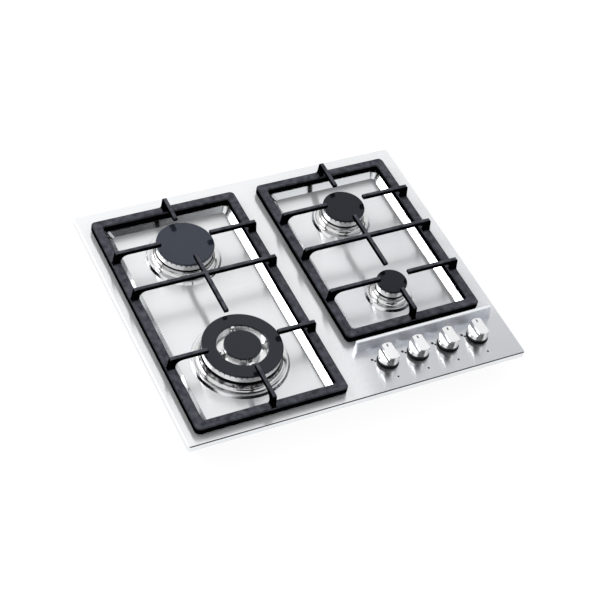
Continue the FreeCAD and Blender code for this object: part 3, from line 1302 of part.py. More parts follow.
def cable_grommet():
    """Rubber grommet for the supply lead in the tray's back wall."""
    z = PLATE_TOP - GROMMET_LEVEL
    outer = TRAY.y1
    inner = TRAY.y1 - TRAY_SHEET
    reach = GROMMET_FLANGE + OVERCUT
    parts = [
        rod_y(GROMMET_X, inner, outer, z, GROMMET_NECK_R),
        rod_y(GROMMET_X, outer, outer + GROMMET_FLANGE, z, GROMMET_FLANGE_R),
        rod_y(GROMMET_X, inner - GROMMET_FLANGE, inner, z, GROMMET_FLANGE_R),
    ]
    return fused(parts).cut(rod_y(GROMMET_X, inner - reach, outer + reach, z, GROMMET_BORE_R))


# ---- knob guard ----------------------------------------------------------------------------------
def knob_guard():
    """Upright folded guard between the knobs and the pan support, hollow, with two screw lugs."""
    def form(wall, z0, z1):
        """The guard's tapering form, thinned by wall."""
        lower = inset(GUARD, wall)
        upper = Rect(GUARD.x0 + wall, GUARD.y0 + GUARD_FRONT_LEAN + wall, GUARD.x1 - wall,
                     GUARD.y1 - GUARD_BACK_LEAN - wall)
        r = GUARD_CORNER_R - wall
        return sloped(lower, r, z0, upper, r, z1)
    top = PLATE_TOP + GUARD_HEIGHT
    outer = form(0.0, PLATE_TOP, top)
    crest = [edge for edge in outer.Edges if edge.BoundBox.ZMin > top - NUDGE]
    outer = outer.makeFillet(GUARD_TOP_R, crest)
    shell = outer.cut(form(GUARD_SHEET, PLATE_TOP - NUDGE, top - GUARD_SHEET))
    lugs = []
    for x, y in guard_screw_points():
        half = GUARD_LUG / 2
        lug = box(x - half, GUARD.y0, PLATE_TOP, x + half, GUARD.y1, PLATE_TOP + GUARD_LUG)
        lug = lug.common(form(0.0, PLATE_TOP, top))
        lugs.append(lug.cut(cylinder(x, y, PLATE_TOP - OVERCUT, top, GUARD_SCREW_R)))
    return fused([shell] + lugs)


def guard_screw(x, y):
    """Screw from below the plate into a lug of the guard."""
    head = cylinder(x, y, PLATE_UNDER - GUARD_SCREW_HEAD, PLATE_UNDER, GUARD_SCREW_HEAD_R)
    shank = cylinder(x, y, PLATE_UNDER, PLATE_TOP + GUARD_SCREW_LENGTH, GUARD_SCREW_R)
    return head.fuse(shank).removeSplitter()


# ---- write every piece ---------------------------------------------------------------------------
def pieces():
    """Every node's name and its solids."""
    nodes = {
        "top_plate": [top_plate()],
        "worktop_seal": [worktop_seal()],
        "under_tray": [under_tray()],
        "clamp_inserts": [clamp_insert(x, y) for x, y in clamp_points()],
        "tray_tabs": [tray_tab(side, y) for side in (-1, 1) for y in TAB_Y],
        "tray_screws": [tray_screw(side, y) for side in (-1, 1) for y in TAB_Y],
        "knob_guard": [knob_guard()],
        "guard_screws": [guard_screw(x, y) for x, y in guard_screw_points()],
        "left_pan_support": [pan_support(LEFT_SUPPORT, LEFT_COLUMN, REAR_ROW, RAPID_TIPS, WOK_ROW, WOK_TIPS,
                                         LEFT_CROSS_BAR)],
        "right_pan_support": [pan_support(RIGHT_SUPPORT, RIGHT_COLUMN, REAR_ROW, MEDIUM_TIPS, SMALL_ROW,
                                          SMALL_TIPS, RIGHT_CROSS_BAR)],
        "left_support_feet": [support_foot(x, y) for x, y in foot_points(LEFT_SUPPORT)],
        "right_support_feet": [support_foot(x, y) for x, y in foot_points(RIGHT_SUPPORT)],
        "wok_flame_spreader": [wok_spreader()],
        "wok_outer_cap": [wok_outer_cap()],
        "wok_inner_cap": [wok_inner_cap()],
        "injectors": [injector(burner) for burner in BURNERS],
        "spark_electrodes": [spark_electrode(burner) for burner in BURNERS],
        "thermocouples": [thermocouple(burner) for burner in BURNERS],
        "burner_screws": [burner_screw(x, y) for burner in BURNERS for x, y in screw_points(burner)],
        "burner_nuts": [burner_nut(x, y) for burner in BURNERS for x, y in screw_points(burner)],
        "knob_bezels": [knob_bezel(x) for x in KNOB_X],
        "tap_bodies": [tap_body(x) for x in KNOB_X],
        "tap_covers": [tap_cover(x) for x in KNOB_X],
        "tap_screws": [tap_screw(ex, ey) for x in KNOB_X for ex, ey in ear_points(x)],
        "magnet_units": [magnet_unit(x) for x in KNOB_X],
        "ignition_switches": [ignition_switch(x) for x in KNOB_X],
        "tap_bracket": [tap_bracket()],
        "gas_rail": [gas_rail()],
        "inlet_elbow": [inlet_elbow()],
        "inlet_locknut": [inlet_locknut()],
        "feed_tubes": [feed_tube(burner) for burner in BURNERS],
        "ignition_module": [ignition_module()],
        "terminal_block": [terminal_block()],
        "cable_grommet": [cable_grommet()],
    }
    for burner in BURNERS:
        nodes[burner.name + "_burner_base"] = [burner_base(burner)]
        if burner is not WOK:
            nodes[burner.name + "_flame_spreader"] = [flame_spreader(burner)]
            nodes[burner.name + "_cap"] = [burner_cap(burner)]
        nodes[burner.name + "_knob"] = [knob(burner.tap_x)]
        nodes[burner.name + "_spindle"] = [spindle(burner.tap_x)]
        nodes[burner.name + "_return_spring"] = [return_spring(burner.tap_x)]
        nodes[burner.name + "_tap_plug"] = [tap_plug(burner.tap_x)]
    return nodes


def main():
    """Write parts/NODE.step for every node."""
    os.makedirs("parts", exist_ok=True)
    for name, shapes in pieces().items():
        solids = [solid for shape in shapes for solid in shape.Solids]
        shape = solids[0] if len(solids) == 1 else Part.makeCompound(solids)
        shape.exportStep("parts/" + name + ".step")
        print(f"{name:24s} wanted {len(shapes):2d} solids {len(solids):2d} valid {shape.isValid()} "
              f"volume {shape.Volume / 1000:9.2f} cm3")


main()
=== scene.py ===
"""Looks of a built-in gas cooktop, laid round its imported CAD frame.

Lengths are in millimetres where a name ends in _mm and in metres elsewhere. The frame's origin is
in the middle of the under-tray's flat bottom, +Y is the back and +Z is up.
"""

import logging
import math
from dataclasses import dataclass, field

import bpy
import numpy as np
from mathutils import Matrix, Vector


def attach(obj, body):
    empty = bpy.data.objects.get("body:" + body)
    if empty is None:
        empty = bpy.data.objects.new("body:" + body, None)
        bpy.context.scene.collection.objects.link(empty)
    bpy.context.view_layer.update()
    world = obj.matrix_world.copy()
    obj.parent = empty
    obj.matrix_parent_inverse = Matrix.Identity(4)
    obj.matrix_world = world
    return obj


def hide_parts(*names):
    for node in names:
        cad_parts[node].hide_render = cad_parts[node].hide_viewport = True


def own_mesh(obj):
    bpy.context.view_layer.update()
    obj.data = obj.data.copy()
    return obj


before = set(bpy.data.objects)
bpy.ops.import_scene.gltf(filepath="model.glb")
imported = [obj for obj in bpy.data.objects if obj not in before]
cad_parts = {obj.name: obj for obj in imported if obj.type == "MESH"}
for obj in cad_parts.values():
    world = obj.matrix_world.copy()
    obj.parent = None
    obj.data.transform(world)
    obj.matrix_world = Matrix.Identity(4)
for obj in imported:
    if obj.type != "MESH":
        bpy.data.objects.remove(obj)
bpy.context.view_layer.update()

LOG = logging.getLogger("cooktop")
MM = 0.001
Tree = bpy.types.NodeTree
Socket = bpy.types.NodeSocket
Span = tuple[float, float]
Triple = tuple[float, float, float]
# Values between which the output of a noise node mostly lies.
NOISE = (0.3, 0.7)
# Settings that make a Mix node mix its inputs 6 and 7, as colours. As values it mixes 2 and 3. Map
# Range takes a value, the two ends of its range and the two ends of the range that it is put in.
COLOURS = {"data_type": "RGBA", "out": 2}
WHITE = (1.0, 1.0, 1.0, 1.0)
PLATE_TOP_MM = 60.0
BURNER_CENTRES_MM = {
    "wok": (-150.0, -112.0),
    "rapid": (-150.0, 119.0),
    "small": (141.0, -61.0),
    "medium": (141.0, 119.0),
}
# Top of the land on every burner base, and underside of each spreader's wall above the open gap.
BASE_LAND_MM = 67.0
SPREADER_STEP_MM = {"wok": 73.5, "rapid": 70.5, "small": 70.5, "medium": 70.5}
KNOB_CENTRES_MM = {
    "wok": (69.3, -194.8),
    "rapid": (124.1, -194.8),
    "small": (178.9, -194.8),
    "medium": (233.7, -194.8),
}


# ---- shared tools ----


def linear(code: str) -> tuple[float, float, float, float]:
    """Turn an sRGB hex colour into linear light.

    Args:
        code: the colour as "#rrggbb".

    Returns:
        Red, green, blue and an alpha of 1, each from 0 to 1.
    """
    parts = [int(code[place : place + 2], 16) / 255 for place in (1, 3, 5)]
    light = [c / 12.92 if c <= 0.04045 else ((c + 0.055) / 1.055) ** 2.4 for c in parts]
    return light[0], light[1], light[2], 1.0


def add(tree: Tree, kind: str, inputs: dict | tuple = (), out: int | str = 0,
        **settings) -> Socket | None:
    """Add one node with its settings, its values and its links.

    Args:
        tree: the node tree.
        kind: the node's type name after "ShaderNode".
        inputs: values in the order of the sockets, or by socket name or number. An output socket is
            linked, and a hex colour is turned to linear light.
        out: name or number of the output to hand back.
        settings: the node's own properties.

    Returns:
        The chosen output socket, or None from a node without outputs.
    """
    made = tree.nodes.new(f"ShaderNode{kind}")
    for name, value in settings.items():
        setattr(made, name, value)
    for name, value in inputs.items() if isinstance(inputs, dict) else enumerate(inputs):
        if isinstance(value, Socket):
            tree.links.new(value, made.inputs[name])
        else:
            made.inputs[name].default_value = linear(value) if isinstance(value, str) else value
    return made.outputs[out] if made.outputs else None


def new_tree(name: str) -> tuple[bpy.types.Material, Tree]:
    """Start an empty node material.

    Args:
        name: the material's name.

    Returns:
        The material and its node tree.
    """
    material = bpy.data.materials.new(name)
    material.use_nodes = True
    material.node_tree.nodes.clear()
    return material, material.node_tree


def axes(tree: Tree) -> tuple[Socket, Socket, Socket]:
    """Place of the shaded point on its piece.

    Args:
        tree: the node tree.

    Returns:
        X, Y and Z in metres.
    """
    place = add(tree, "TexCoord", out="Object")
    return tuple(add(tree, "SeparateXYZ", (place,)).node.outputs)


def cell_noise(tree: Tree, cell_mm: float | Triple, detail: float = 3.0) -> Socket:
    """Noise whose blotches have a real size.

    Args:
        tree: the node tree.
        cell_mm: blotch size, or its size along X, Y and Z.
        detail: octaves of finer noise.

    Returns:
        The noise's value, from 0 to 1.
    """
    place = add(tree, "TexCoord", out="Object")
    scale = tuple(1 / (np.broadcast_to(cell_mm, 3) * MM))
    moved = add(tree, "Mapping", {"Vector": place, "Scale": scale})
    return add(tree, "TexNoise", {"Vector": moved, "Scale": 1.0, "Detail": detail}, "Fac")


def ring_noise(tree: Tree, line_mm: float, centre_mm: Span, detail: float = 2.0) -> Socket:
    """Turning marks: noise that depends only on the distance from an upright axis.

    Args:
        tree: the node tree.
        line_mm: width of one mark.
        centre_mm: the axis' X and Y.
        detail: octaves of finer noise.

    Returns:
        The noise's value, from 0 to 1.
    """
    place = add(tree, "TexCoord", out="Object")
    shift = (-centre_mm[0] * MM, -centre_mm[1] * MM, 0.0)
    moved = add(tree, "Mapping", {"Vector": place, "Location": shift})
    flat = add(tree, "VectorMath", (moved, (1.0, 1.0, 0.0)), operation="MULTIPLY")
    reach = add(tree, "VectorMath", (flat,), "Value", operation="LENGTH")
    marks = {"W": reach, "Scale": 1 / (line_mm * MM), "Detail": detail}
    return add(tree, "TexNoise", marks, "Fac", noise_dimensions="1D")


def weighed(tree: Tree, first: Socket, second: Socket, weight: float, span: Span = NOISE) -> Socket:
    """Add two patterns, the first by its weight and the second by the rest of 1.

    Args:
        tree: the node tree.
        first: the first pattern.
        second: the second pattern, a noise.
        weight: weight of the first.
        span: values between which the first pattern lies.

    Returns:
        The sum, from 0 to 1.
    """
    parts = (
        add(tree, "MapRange", (first, *span, 0.0, weight)),
        add(tree, "MapRange", (second, *NOISE, 0.0, 1 - weight)),
    )
    return add(tree, "Math", parts, operation="ADD")


def mesh_object(name: str, points: np.ndarray, *faces: np.ndarray) -> bpy.types.Object:
    """Make a smooth-shaded object from whole arrays.

    Args:
        name: the object's name.
        points: n rows of X, Y and Z in metres.
        faces: arrays of corner numbers, with a row for each face.

    Returns:
        The object, at the origin and linked to the scene.
    """
    mesh = bpy.data.meshes.new(name)
    mesh.from_pydata(points.tolist(), [], sum((part.tolist() for part in faces), []))
    mesh.polygons.foreach_set("use_smooth", np.ones(len(mesh.polygons), dtype=bool))
    mesh.update()
    made = bpy.data.objects.new(name, mesh)
    bpy.context.scene.collection.objects.link(made)
    return made


def grid_faces(rows: int, columns: int, offset: int = 0) -> np.ndarray:
    """Quads of a grid that closes on itself along its columns.

    Corner (i, j) joins (i + 1, j), (i + 1, j + 1) and (i, j + 1), with j counted round the ring.

    Args:
        rows: rings along the surface.
        columns: points on each ring.
        offset: number of the first point.

    Returns:
        Rows of four corner numbers.
    """
    i, j = np.meshgrid(np.arange(rows - 1), np.arange(columns), indexing="ij")
    k = (j + 1) % columns
    low, high = i * columns, (i + 1) * columns
    return np.stack([low + j, low + k, high + k, high + j], axis=-1).reshape(-1, 4) + offset


def lathe_points(profile_mm: np.ndarray, centre_mm: Span, segments: int) -> np.ndarray:
    """Turn a profile about an upright axis.

    A profile point (r, z) and an angle a give (x0 + r cos a, y0 + r sin a, z).

    Args:
        profile_mm: rows of radius and height.
        centre_mm: the axis' X and Y.
        segments: points round the axis.

    Returns:
        Rows of X, Y and Z in metres, ring by ring.
    """
    turn = np.linspace(0.0, 2 * math.pi, segments, endpoint=False)
    radius, height = profile_mm[:, :1], profile_mm[:, 1:]
    x = centre_mm[0] + radius * np.cos(turn)
    y = centre_mm[1] + radius * np.sin(turn)
    z = np.broadcast_to(height, x.shape)
    return np.stack([x, y, z], axis=-1).reshape(-1, 3) * MM


def studded(name: str, profile_mm: np.ndarray, centres_mm: list[Span],
            segments: int) -> bpy.types.Object:
    """Many equal turned studs in one object, each sunk at its foot and closed at its crown.

    Args:
        name: the object's name.
        profile_mm: rows of radius and height, from the foot to the crown on the axis.
        centres_mm: where the studs stand.
        segments: points round each stud.

    Returns:
        The object.
    """
    rows = len(profile_mm)
    points = np.concatenate([lathe_points(profile_mm, centre, segments) for centre in centres_mm])
    starts = range(0, len(points), rows * segments)
    faces = np.concatenate([grid_faces(rows, segments, start) for start in starts])
    return mesh_object(name, points, faces)


def tube_points(path: np.ndarray, radius: float, segments: int, up: np.ndarray) -> np.ndarray:
    """Carry a circle along a path.

    Each ring lies in the plane of side = tangent x up and top = side x tangent, so a ring point is
    path + radius (cos a side + sin a top).

    Args:
        path: rows of X, Y and Z.
        radius: the tube's radius.
        segments: points on each ring.
        up: direction that is never along the path.

    Returns:
        Rows of X, Y and Z, ring by ring.
    """
    tangent = np.gradient(path, axis=0)
    tangent /= np.linalg.norm(tangent, axis=1, keepdims=True)
    side = np.cross(tangent, up)
    side /= np.linalg.norm(side, axis=1, keepdims=True)
    top = np.cross(side, tangent)
    turn = np.linspace(0.0, 2 * math.pi, segments, endpoint=False)[:, None]
    ring = np.cos(turn)[None] * side[:, None] + np.sin(turn)[None] * top[:, None]
    return (path[:, None] + radius * ring).reshape(-1, 3)


# ---- finishes ----


@dataclass(frozen=True)
class Finish:
    """A material with a main colour and a second tone of it."""

    name: str
    colour: str
    shade: str

    def inputs(self, tree: Tree) -> dict:
        """Feed the Principled shader.

        Args:
            tree: the node tree.

        Returns:
            Its values and feeding sockets, by input name.
        """
        raise NotImplementedError

    def material(self) -> bpy.types.Material:
        """Build the node material.

        Returns:
            The material.
        """
        material, tree = new_tree(self.name)
        shader = add(tree, "BsdfPrincipled", self.inputs(tree))
        add(tree, "OutputMaterial", {"Surface": shader})
        return material


@dataclass(frozen=True)
class BrushedSheet(Finish):
    """Stainless sheet, belt-brushed one way: long hair lines that smear reflections across them.

    The flats scatter some light evenly, and the drawn or folded walls are smoother and wholly
    metallic. The walls also get tones of their own: painted light and shade for the way they face.
    """

    # Tones of the walls: painted light and shade, picked by how far the normal points up.
    wall: str
    wall_shade: str
    # Along X, and tilted a little, so that it is never square on to a wall.
    brushed_along: Triple = (1.0, 0.02, 0.05)
    flat_metallic: float = 0.62
    roughness: float = 0.19
    roughness_swing: float = 0.04
    wall_roughness: float = 0.12
    anisotropy: float = 1.0
    # Upward parts of the normal between which a wall turns into a flat.
    flat_levels: Span = (0.86, 0.98)
    # Real hair lines are about 0.05 mm wide; these are ten times as coarse, so that they show.
    line_mm: float = 0.5
    line_length_mm: float = 60.0
    line_weight: float = 0.7
    relief_mm: float = 0.0003
    cloud_mm: float = 140.0
    # Half depth of the sheet and width of its front bend, whose crest gets a painted reflection: a
    # dark line for its tight radius.
    bend_mm: Span | None = None
    bend: str = "#5a5c61"
    # Least X and greatest Y of the corner that is lapped finer, and the width over which it fades.
    lapped_mm: Triple | None = None
    lapped_metallic: float = 0.96
    lapped_roughness: float = 0.17

    def inputs(self, tree: Tree) -> dict:
        """Feed the Principled shader.

        Args:
            tree: the node tree.

        Returns:
            Its values and feeding sockets, by input name.
        """
        lines = cell_noise(tree, (self.line_length_mm, self.line_mm, self.line_mm), detail=4.0)
        clouds = cell_noise(tree, self.cloud_mm, detail=2.0)
        share = weighed(tree, lines, clouds, self.line_weight)
        normal = add(tree, "NewGeometry", out="Normal")
        tangent = add(tree, "VectorMath", (normal, self.brushed_along), operation="CROSS_PRODUCT")
        level = add(tree, "SeparateXYZ", (normal,), "Z")
        flat = add(tree, "MapRange", (level, *self.flat_levels))
        sheet = add(tree, "Mix", {0: share, 6: self.colour, 7: self.shade}, **COLOURS)
        # The walls' painted light and shade tones, mixed in where the normal leans.
        drawn = add(tree, "Mix", {0: share, 6: self.wall, 7: self.wall_shade}, **COLOURS)
        colour = add(tree, "Mix", {0: flat, 6: drawn, 7: sheet}, **COLOURS)
        # A dark line painted along the front bend's crest, as the dark reflection in its tight
        # radius.
        if self.bend_mm is not None:
            colour = add(tree, "Mix", {0: self.at_bend(tree), 6: colour, 7: self.bend}, **COLOURS)
        swing = self.roughness_swing / 2
        hair = add(tree, "MapRange", (lines, *NOISE, -swing, swing))
        metallic = add(tree, "MapRange", {0: flat, 3: 1.0, 4: self.flat_metallic})
        rough = add(tree, "MapRange", {0: flat, 3: self.wall_roughness, 4: self.roughness})
        if self.lapped_mm is not None:
            lapped = self.at_lapped(tree)
            metallic = add(tree, "Mix", {0: lapped, 2: metallic, 3: self.lapped_metallic})
            rough = add(tree, "Mix", {0: lapped, 2: rough, 3: self.lapped_roughness})
        relief = add(tree, "Math", (lines, flat), operation="MULTIPLY")
        return {
            "Base Color": colour,
            "Metallic": metallic,
            "Roughness": add(tree, "Math", (rough, hair), operation="ADD"),
            "Anisotropic": self.anisotropy,
            "Tangent": tangent,
            "Normal": add(tree, "Bump", {"Height": relief, "Distance": self.relief_mm * MM}),
        }

    def at_bend(self, tree: Tree) -> Socket:
        """1 along the crest of the front bend, where a dark reflection is painted, and 0 elsewhere.

        Args:
            tree: the node tree.

        Returns:
            The mask: y is within the bend's width of the front edge, and the height is the top's.
        """
        half_y, width = self.bend_mm
        _, y, z = axes(tree)
        near = add(tree, "Math", (y, (width - half_y) * MM), operation="LESS_THAN")
        high = add(tree, "Math", (z, (PLATE_TOP_MM - width) * MM), operation="GREATER_THAN")
        return add(tree, "Math", (near, high), operation="MULTIPLY")

    def at_lapped(self, tree: Tree) -> Socket:
        """1 in the finer corner and 0 elsewhere, with a soft edge.

        Args:
            tree: the node tree.

        Returns:
            The mask: x is above the corner's least and y is below its greatest.
        """
        x_from, y_to, fade = (value * MM for value in self.lapped_mm)
        x, y, _ = axes(tree)
        right = add(tree, "MapRange", (x, x_from, x_from + fade))
        front = add(tree, "MapRange", (y, y_to, y_to + fade, 1.0, 0.0))
        return add(tree, "Math", (right, front), operation="MULTIPLY")


@dataclass(frozen=True)
class Casting(Finish):
    """Grey iron, sand-cast and matt-enamelled, with a pebbled skin.

    The main colour is the sides' and the second tone the tops': the greyer tops are painted light
    for the way they face, with charcoal clouds on them. Their paler edges are partly wear and
    partly a painted highlight. The sides have no gloss, because at a flat angle even a little of it
    mirrors the white surround.
    """

    wear_and_highlight: str
    grit_mm: float = 1.1
    relief_mm: float = 0.05
    cloud_mm: float = 11.0
    cloud_share: float = 0.8
    roughness: float = 0.5
    roughness_swing: float = 0.06
    specular: float = 0.04
    edge_mm: float = 0.9
    # Upward parts of the normal between which a side turns into a top.
    top_levels: Span = (0.4, 0.95)
    # Agreement of the true and the rounded normal at a sharp edge and on a flat, and the share of
    # wear and painted highlight that it brings.
    edge_levels: Span = (0.86, 0.99)
    edge_wear_and_highlight: Span = (0.9, 0.0)
    grit_breakup: Span = (0.3, 1.0)

    def inputs(self, tree: Tree) -> dict:
        """Feed the Principled shader.

        Args:
            tree: the node tree.

        Returns:
            Its values and feeding sockets, by input name.
        """
        grit = cell_noise(tree, self.grit_mm, detail=4.0)
        clouds = cell_noise(tree, self.cloud_mm, detail=5.0)
        rounded = add(tree, "Bevel", {"Radius": self.edge_mm * MM}, samples=4)
        level = add(tree, "SeparateXYZ", (rounded,), "Z")
        upward = add(tree, "MapRange", (level, *self.top_levels))
        true = add(tree, "NewGeometry", out="True Normal")
        facing = add(tree, "VectorMath", (rounded, true), "Value", operation="DOT_PRODUCT")
        # Paler top edges: partly wear, partly painted highlight.
        edge = add(tree, "MapRange", (facing, *self.edge_levels, *self.edge_wear_and_highlight))
        broken_by_grit = add(tree, "MapRange", (grit, *NOISE, *self.grit_breakup))
        edge_rub_and_highlight = add(tree, "Math", (edge, broken_by_grit), operation="MULTIPLY")
        wear_and_highlight = add(tree, "Math", (edge_rub_and_highlight, upward), operation="MULTIPLY")
        cloudy = add(tree, "MapRange", (clouds, *NOISE, 0.0, self.cloud_share))
        patch = add(tree, "Math", (upward, cloudy), operation="MULTIPLY")
        tone = add(tree, "Math", (wear_and_highlight, patch), operation="ADD")
        # Tops lighter than sides: painted light, by how far the rounded normal points up.
        skin = add(tree, "Mix", {0: upward, 6: self.colour, 7: self.shade}, **COLOURS)
        bump = {"Height": grit, "Distance": self.relief_mm * MM, "Normal": rounded}
        swing = self.roughness_swing
        rough = (grit, *NOISE, self.roughness - swing, self.roughness + swing)
        return {
            "Base Color": add(tree, "Mix", {0: tone, 6: skin, 7: self.wear_and_highlight}, **COLOURS),
            "Roughness": add(tree, "MapRange", rough),
            "Specular IOR Level": add(tree, "MapRange", {0: upward, 3: 0.0, 4: self.specular}),
            "Normal": add(tree, "Bump", bump),
        }


@dataclass(frozen=True)
class Enamel(Finish):
    """Vitreous enamel, sprayed and fired on a steel cap: satin, with a faint orange peel.

    The second tone is that of its flecks.
    """

    peel_mm: float = 1.6
    relief_mm: float = 0.006
    roughness: Span = (0.11, 0.17)
    specular: float = 0.42
    # The glaze reflects a little more blue than red.
    gloss: str = "#e3ecff"
    fleck_mm: float = 0.35
    fleck_span: Span = (0.55, 0.75)
    fleck_share: float = 0.8

    def inputs(self, tree: Tree) -> dict:
        """Feed the Principled shader.

        Args:
            tree: the node tree.

        Returns:
            Its values and feeding sockets, by input name.
        """
        peel = cell_noise(tree, self.peel_mm, detail=2.0)
        flecks = cell_noise(tree, self.fleck_mm, detail=1.0)
        share = add(tree, "MapRange", (flecks, *self.fleck_span, 0.0, self.fleck_share))
        return {
            "Base Color": add(tree, "Mix", {0: share, 6: self.colour, 7: self.shade}, **COLOURS),
            "Roughness": add(tree, "MapRange", (peel, *NOISE, *self.roughness)),
            "Specular IOR Level": self.specular,
            "Specular Tint": self.gloss,
            "Normal": add(tree, "Bump", {"Height": peel, "Distance": self.relief_mm * MM}),
        }


@dataclass(frozen=True)
class TurnedMetal(Finish):
    """Metal turned on a lathe and buffed: fine rings round its own axis."""

    centre_mm: Span
    line_mm: float = 0.5
    line_weight: float = 0.5
    relief_mm: float = 0.002
    roughness: float = 0.13
    roughness_swing: float = 0.06
    cloud_mm: float = 9.0
    # Bands of heights that lie in shadow, coloured near black as painted shadow: the open gap and
    # the flange's foot.
    painted_shadow_mm: tuple[Span, ...] = ()
    painted_shadow: str = "#0d0c0c"
    # Band of heights coloured in patches: partly heat staining, partly painted dark reflection.
    stain_and_reflection_mm: Span | None = None
    stain_and_reflection: str = "#4a4a4e"
    band_fade_mm: float = 1.5
    patch_mm: float = 7.0
    patch_span: Span = (0.4, 0.6)
    patch_shares: Span = (0.1, 1.0)

    def inputs(self, tree: Tree) -> dict:
        """Feed the Principled shader.

        Args:
            tree: the node tree.

        Returns:
            Its values and feeding sockets, by input name.
        """
        rings = ring_noise(tree, self.line_mm, self.centre_mm)
        clouds = cell_noise(tree, self.cloud_mm)
        share = weighed(tree, rings, clouds, self.line_weight)
        level = axes(tree)[2]
        colour = add(tree, "Mix", {0: share, 6: self.colour, 7: self.shade}, **COLOURS)
        metallic = 1.0
        if self.stain_and_reflection_mm is not None:
            stain_and_reflection_share = self.stain_and_reflection_share(tree, level)
            colour = add(tree, "Mix", {0: stain_and_reflection_share, 6: colour, 7: self.stain_and_reflection}, **COLOURS)
        if self.painted_shadow_mm:
            in_painted_shadow = self.in_painted_shadow(tree, level)
            colour = add(tree, "Mix", {0: in_painted_shadow, 6: colour, 7: self.painted_shadow}, **COLOURS)
            metallic = add(tree, "Math", (1.0, in_painted_shadow), operation="SUBTRACT")
        rough = (clouds, *NOISE, self.roughness, self.roughness + self.roughness_swing)
        return {
            "Base Color": colour,
            "Metallic": metallic,
            "Roughness": add(tree, "MapRange", rough),
            "Normal": add(tree, "Bump", {"Height": rings, "Distance": self.relief_mm * MM}),
        }

    def in_painted_shadow(self, tree: Tree, level: Socket) -> Socket:
        """1 inside any band of painted shadow and 0 outside.

        Args:
            tree: the node tree.
            level: the height in metres.

        Returns:
            The highest of the bands' masks.
        """
        top = None
        for low, high in self.painted_shadow_mm:
            band = (level, (low + high) / 2 * MM, (high - low) / 2 * MM)
            mask = add(tree, "Math", band, operation="COMPARE")
            top = mask if top is None else add(tree, "Math", (top, mask), operation="MAXIMUM")
        return top

    def stain_and_reflection_share(self, tree: Tree, level: Socket) -> Socket:
        """Share of heat staining and painted dark reflection at a height, broken into patches.

        Args:
            tree: the node tree.
            level: the height in metres.

        Returns:
            A value that fades out below the band's foot and above its head.
        """
        low, high = (v * MM for v in self.stain_and_reflection_mm)
        fade = self.band_fade_mm * MM
        foot = add(tree, "MapRange", (level, low - fade, low))
        head = add(tree, "MapRange", (level, high, high + fade, 1.0, 0.0))
        both = add(tree, "Math", (foot, head), operation="MULTIPLY")
        noise = cell_noise(tree, self.patch_mm)
        patches = add(tree, "MapRange", (noise, *self.patch_span, *self.patch_shares))
        return add(tree, "Math", (both, patches), operation="MULTIPLY")


@dataclass(frozen=True)
class Grained(Finish):
    """Moulded, drawn, plated or cast stock: one colour broken by a grain of its own size."""

    grain_mm: float | Triple
    relief_mm: float
    roughness: float
    metallic: float = 0.0
    specular: float = 0.5
    roughness_swing: float = 0.1
    grain_weight: float = 0.6
    # Size of the cloudy patches in grains.
    patch_ratio: float = 12.0

    def inputs(self, tree: Tree) -> dict:
        """Feed the Principled shader.

        Args:
            tree: the node tree.

        Returns:
            Its values and feeding sockets, by input name.
        """
        grain = cell_noise(tree, self.grain_mm)
        patches = cell_noise(tree, np.multiply(self.grain_mm, self.patch_ratio), detail=2.0)
        share = weighed(tree, grain, patches, self.grain_weight)
        rough = (patches, *NOISE, self.roughness, self.roughness + self.roughness_swing)
        return {
            "Base Color": add(tree, "Mix", {0: share, 6: self.colour, 7: self.shade}, **COLOURS),
            "Metallic": self.metallic,
            "Roughness": add(tree, "MapRange", rough),
            "Specular IOR Level": self.specular,
            "Normal": add(tree, "Bump", {"Height": grain, "Distance": self.relief_mm * MM}),
        }


@dataclass(frozen=True)
class Galvanised(Finish):
    """Hot-dip galvanised sheet: zinc crystals, each a little lighter or darker than the next."""

    crystal_mm: float = 9.0
    crystal_weight: float = 0.8
    grain_mm: float = 0.8
    relief_mm: float = 0.003
    roughness: Span = (0.39, 0.45)

    def inputs(self, tree: Tree) -> dict:
        """Feed the Principled shader.

        Args:
            tree: the node tree.

        Returns:
            Its values and feeding sockets, by input name.
        """
        place = add(tree, "TexCoord", out="Object")
        crystals = {"Vector": place, "Scale": 1 / (self.crystal_mm * MM)}
        cell = add(tree, "TexVoronoi", crystals, "Color")
        crystal = add(tree, "SeparateColor", (cell,))
        grain = cell_noise(tree, self.grain_mm)
        share = weighed(tree, crystal, grain, self.crystal_weight, (0.0, 1.0))
        return {
            "Base Color": add(tree, "Mix", {0: share, 6: self.colour, 7: self.shade}, **COLOURS),
            "Metallic": 1.0,
            "Roughness": add(tree, "MapRange", (crystal, 0.0, 1.0, *self.roughness)),
            "Normal": add(tree, "Bump", {"Height": grain, "Distance": self.relief_mm * MM}),
        }


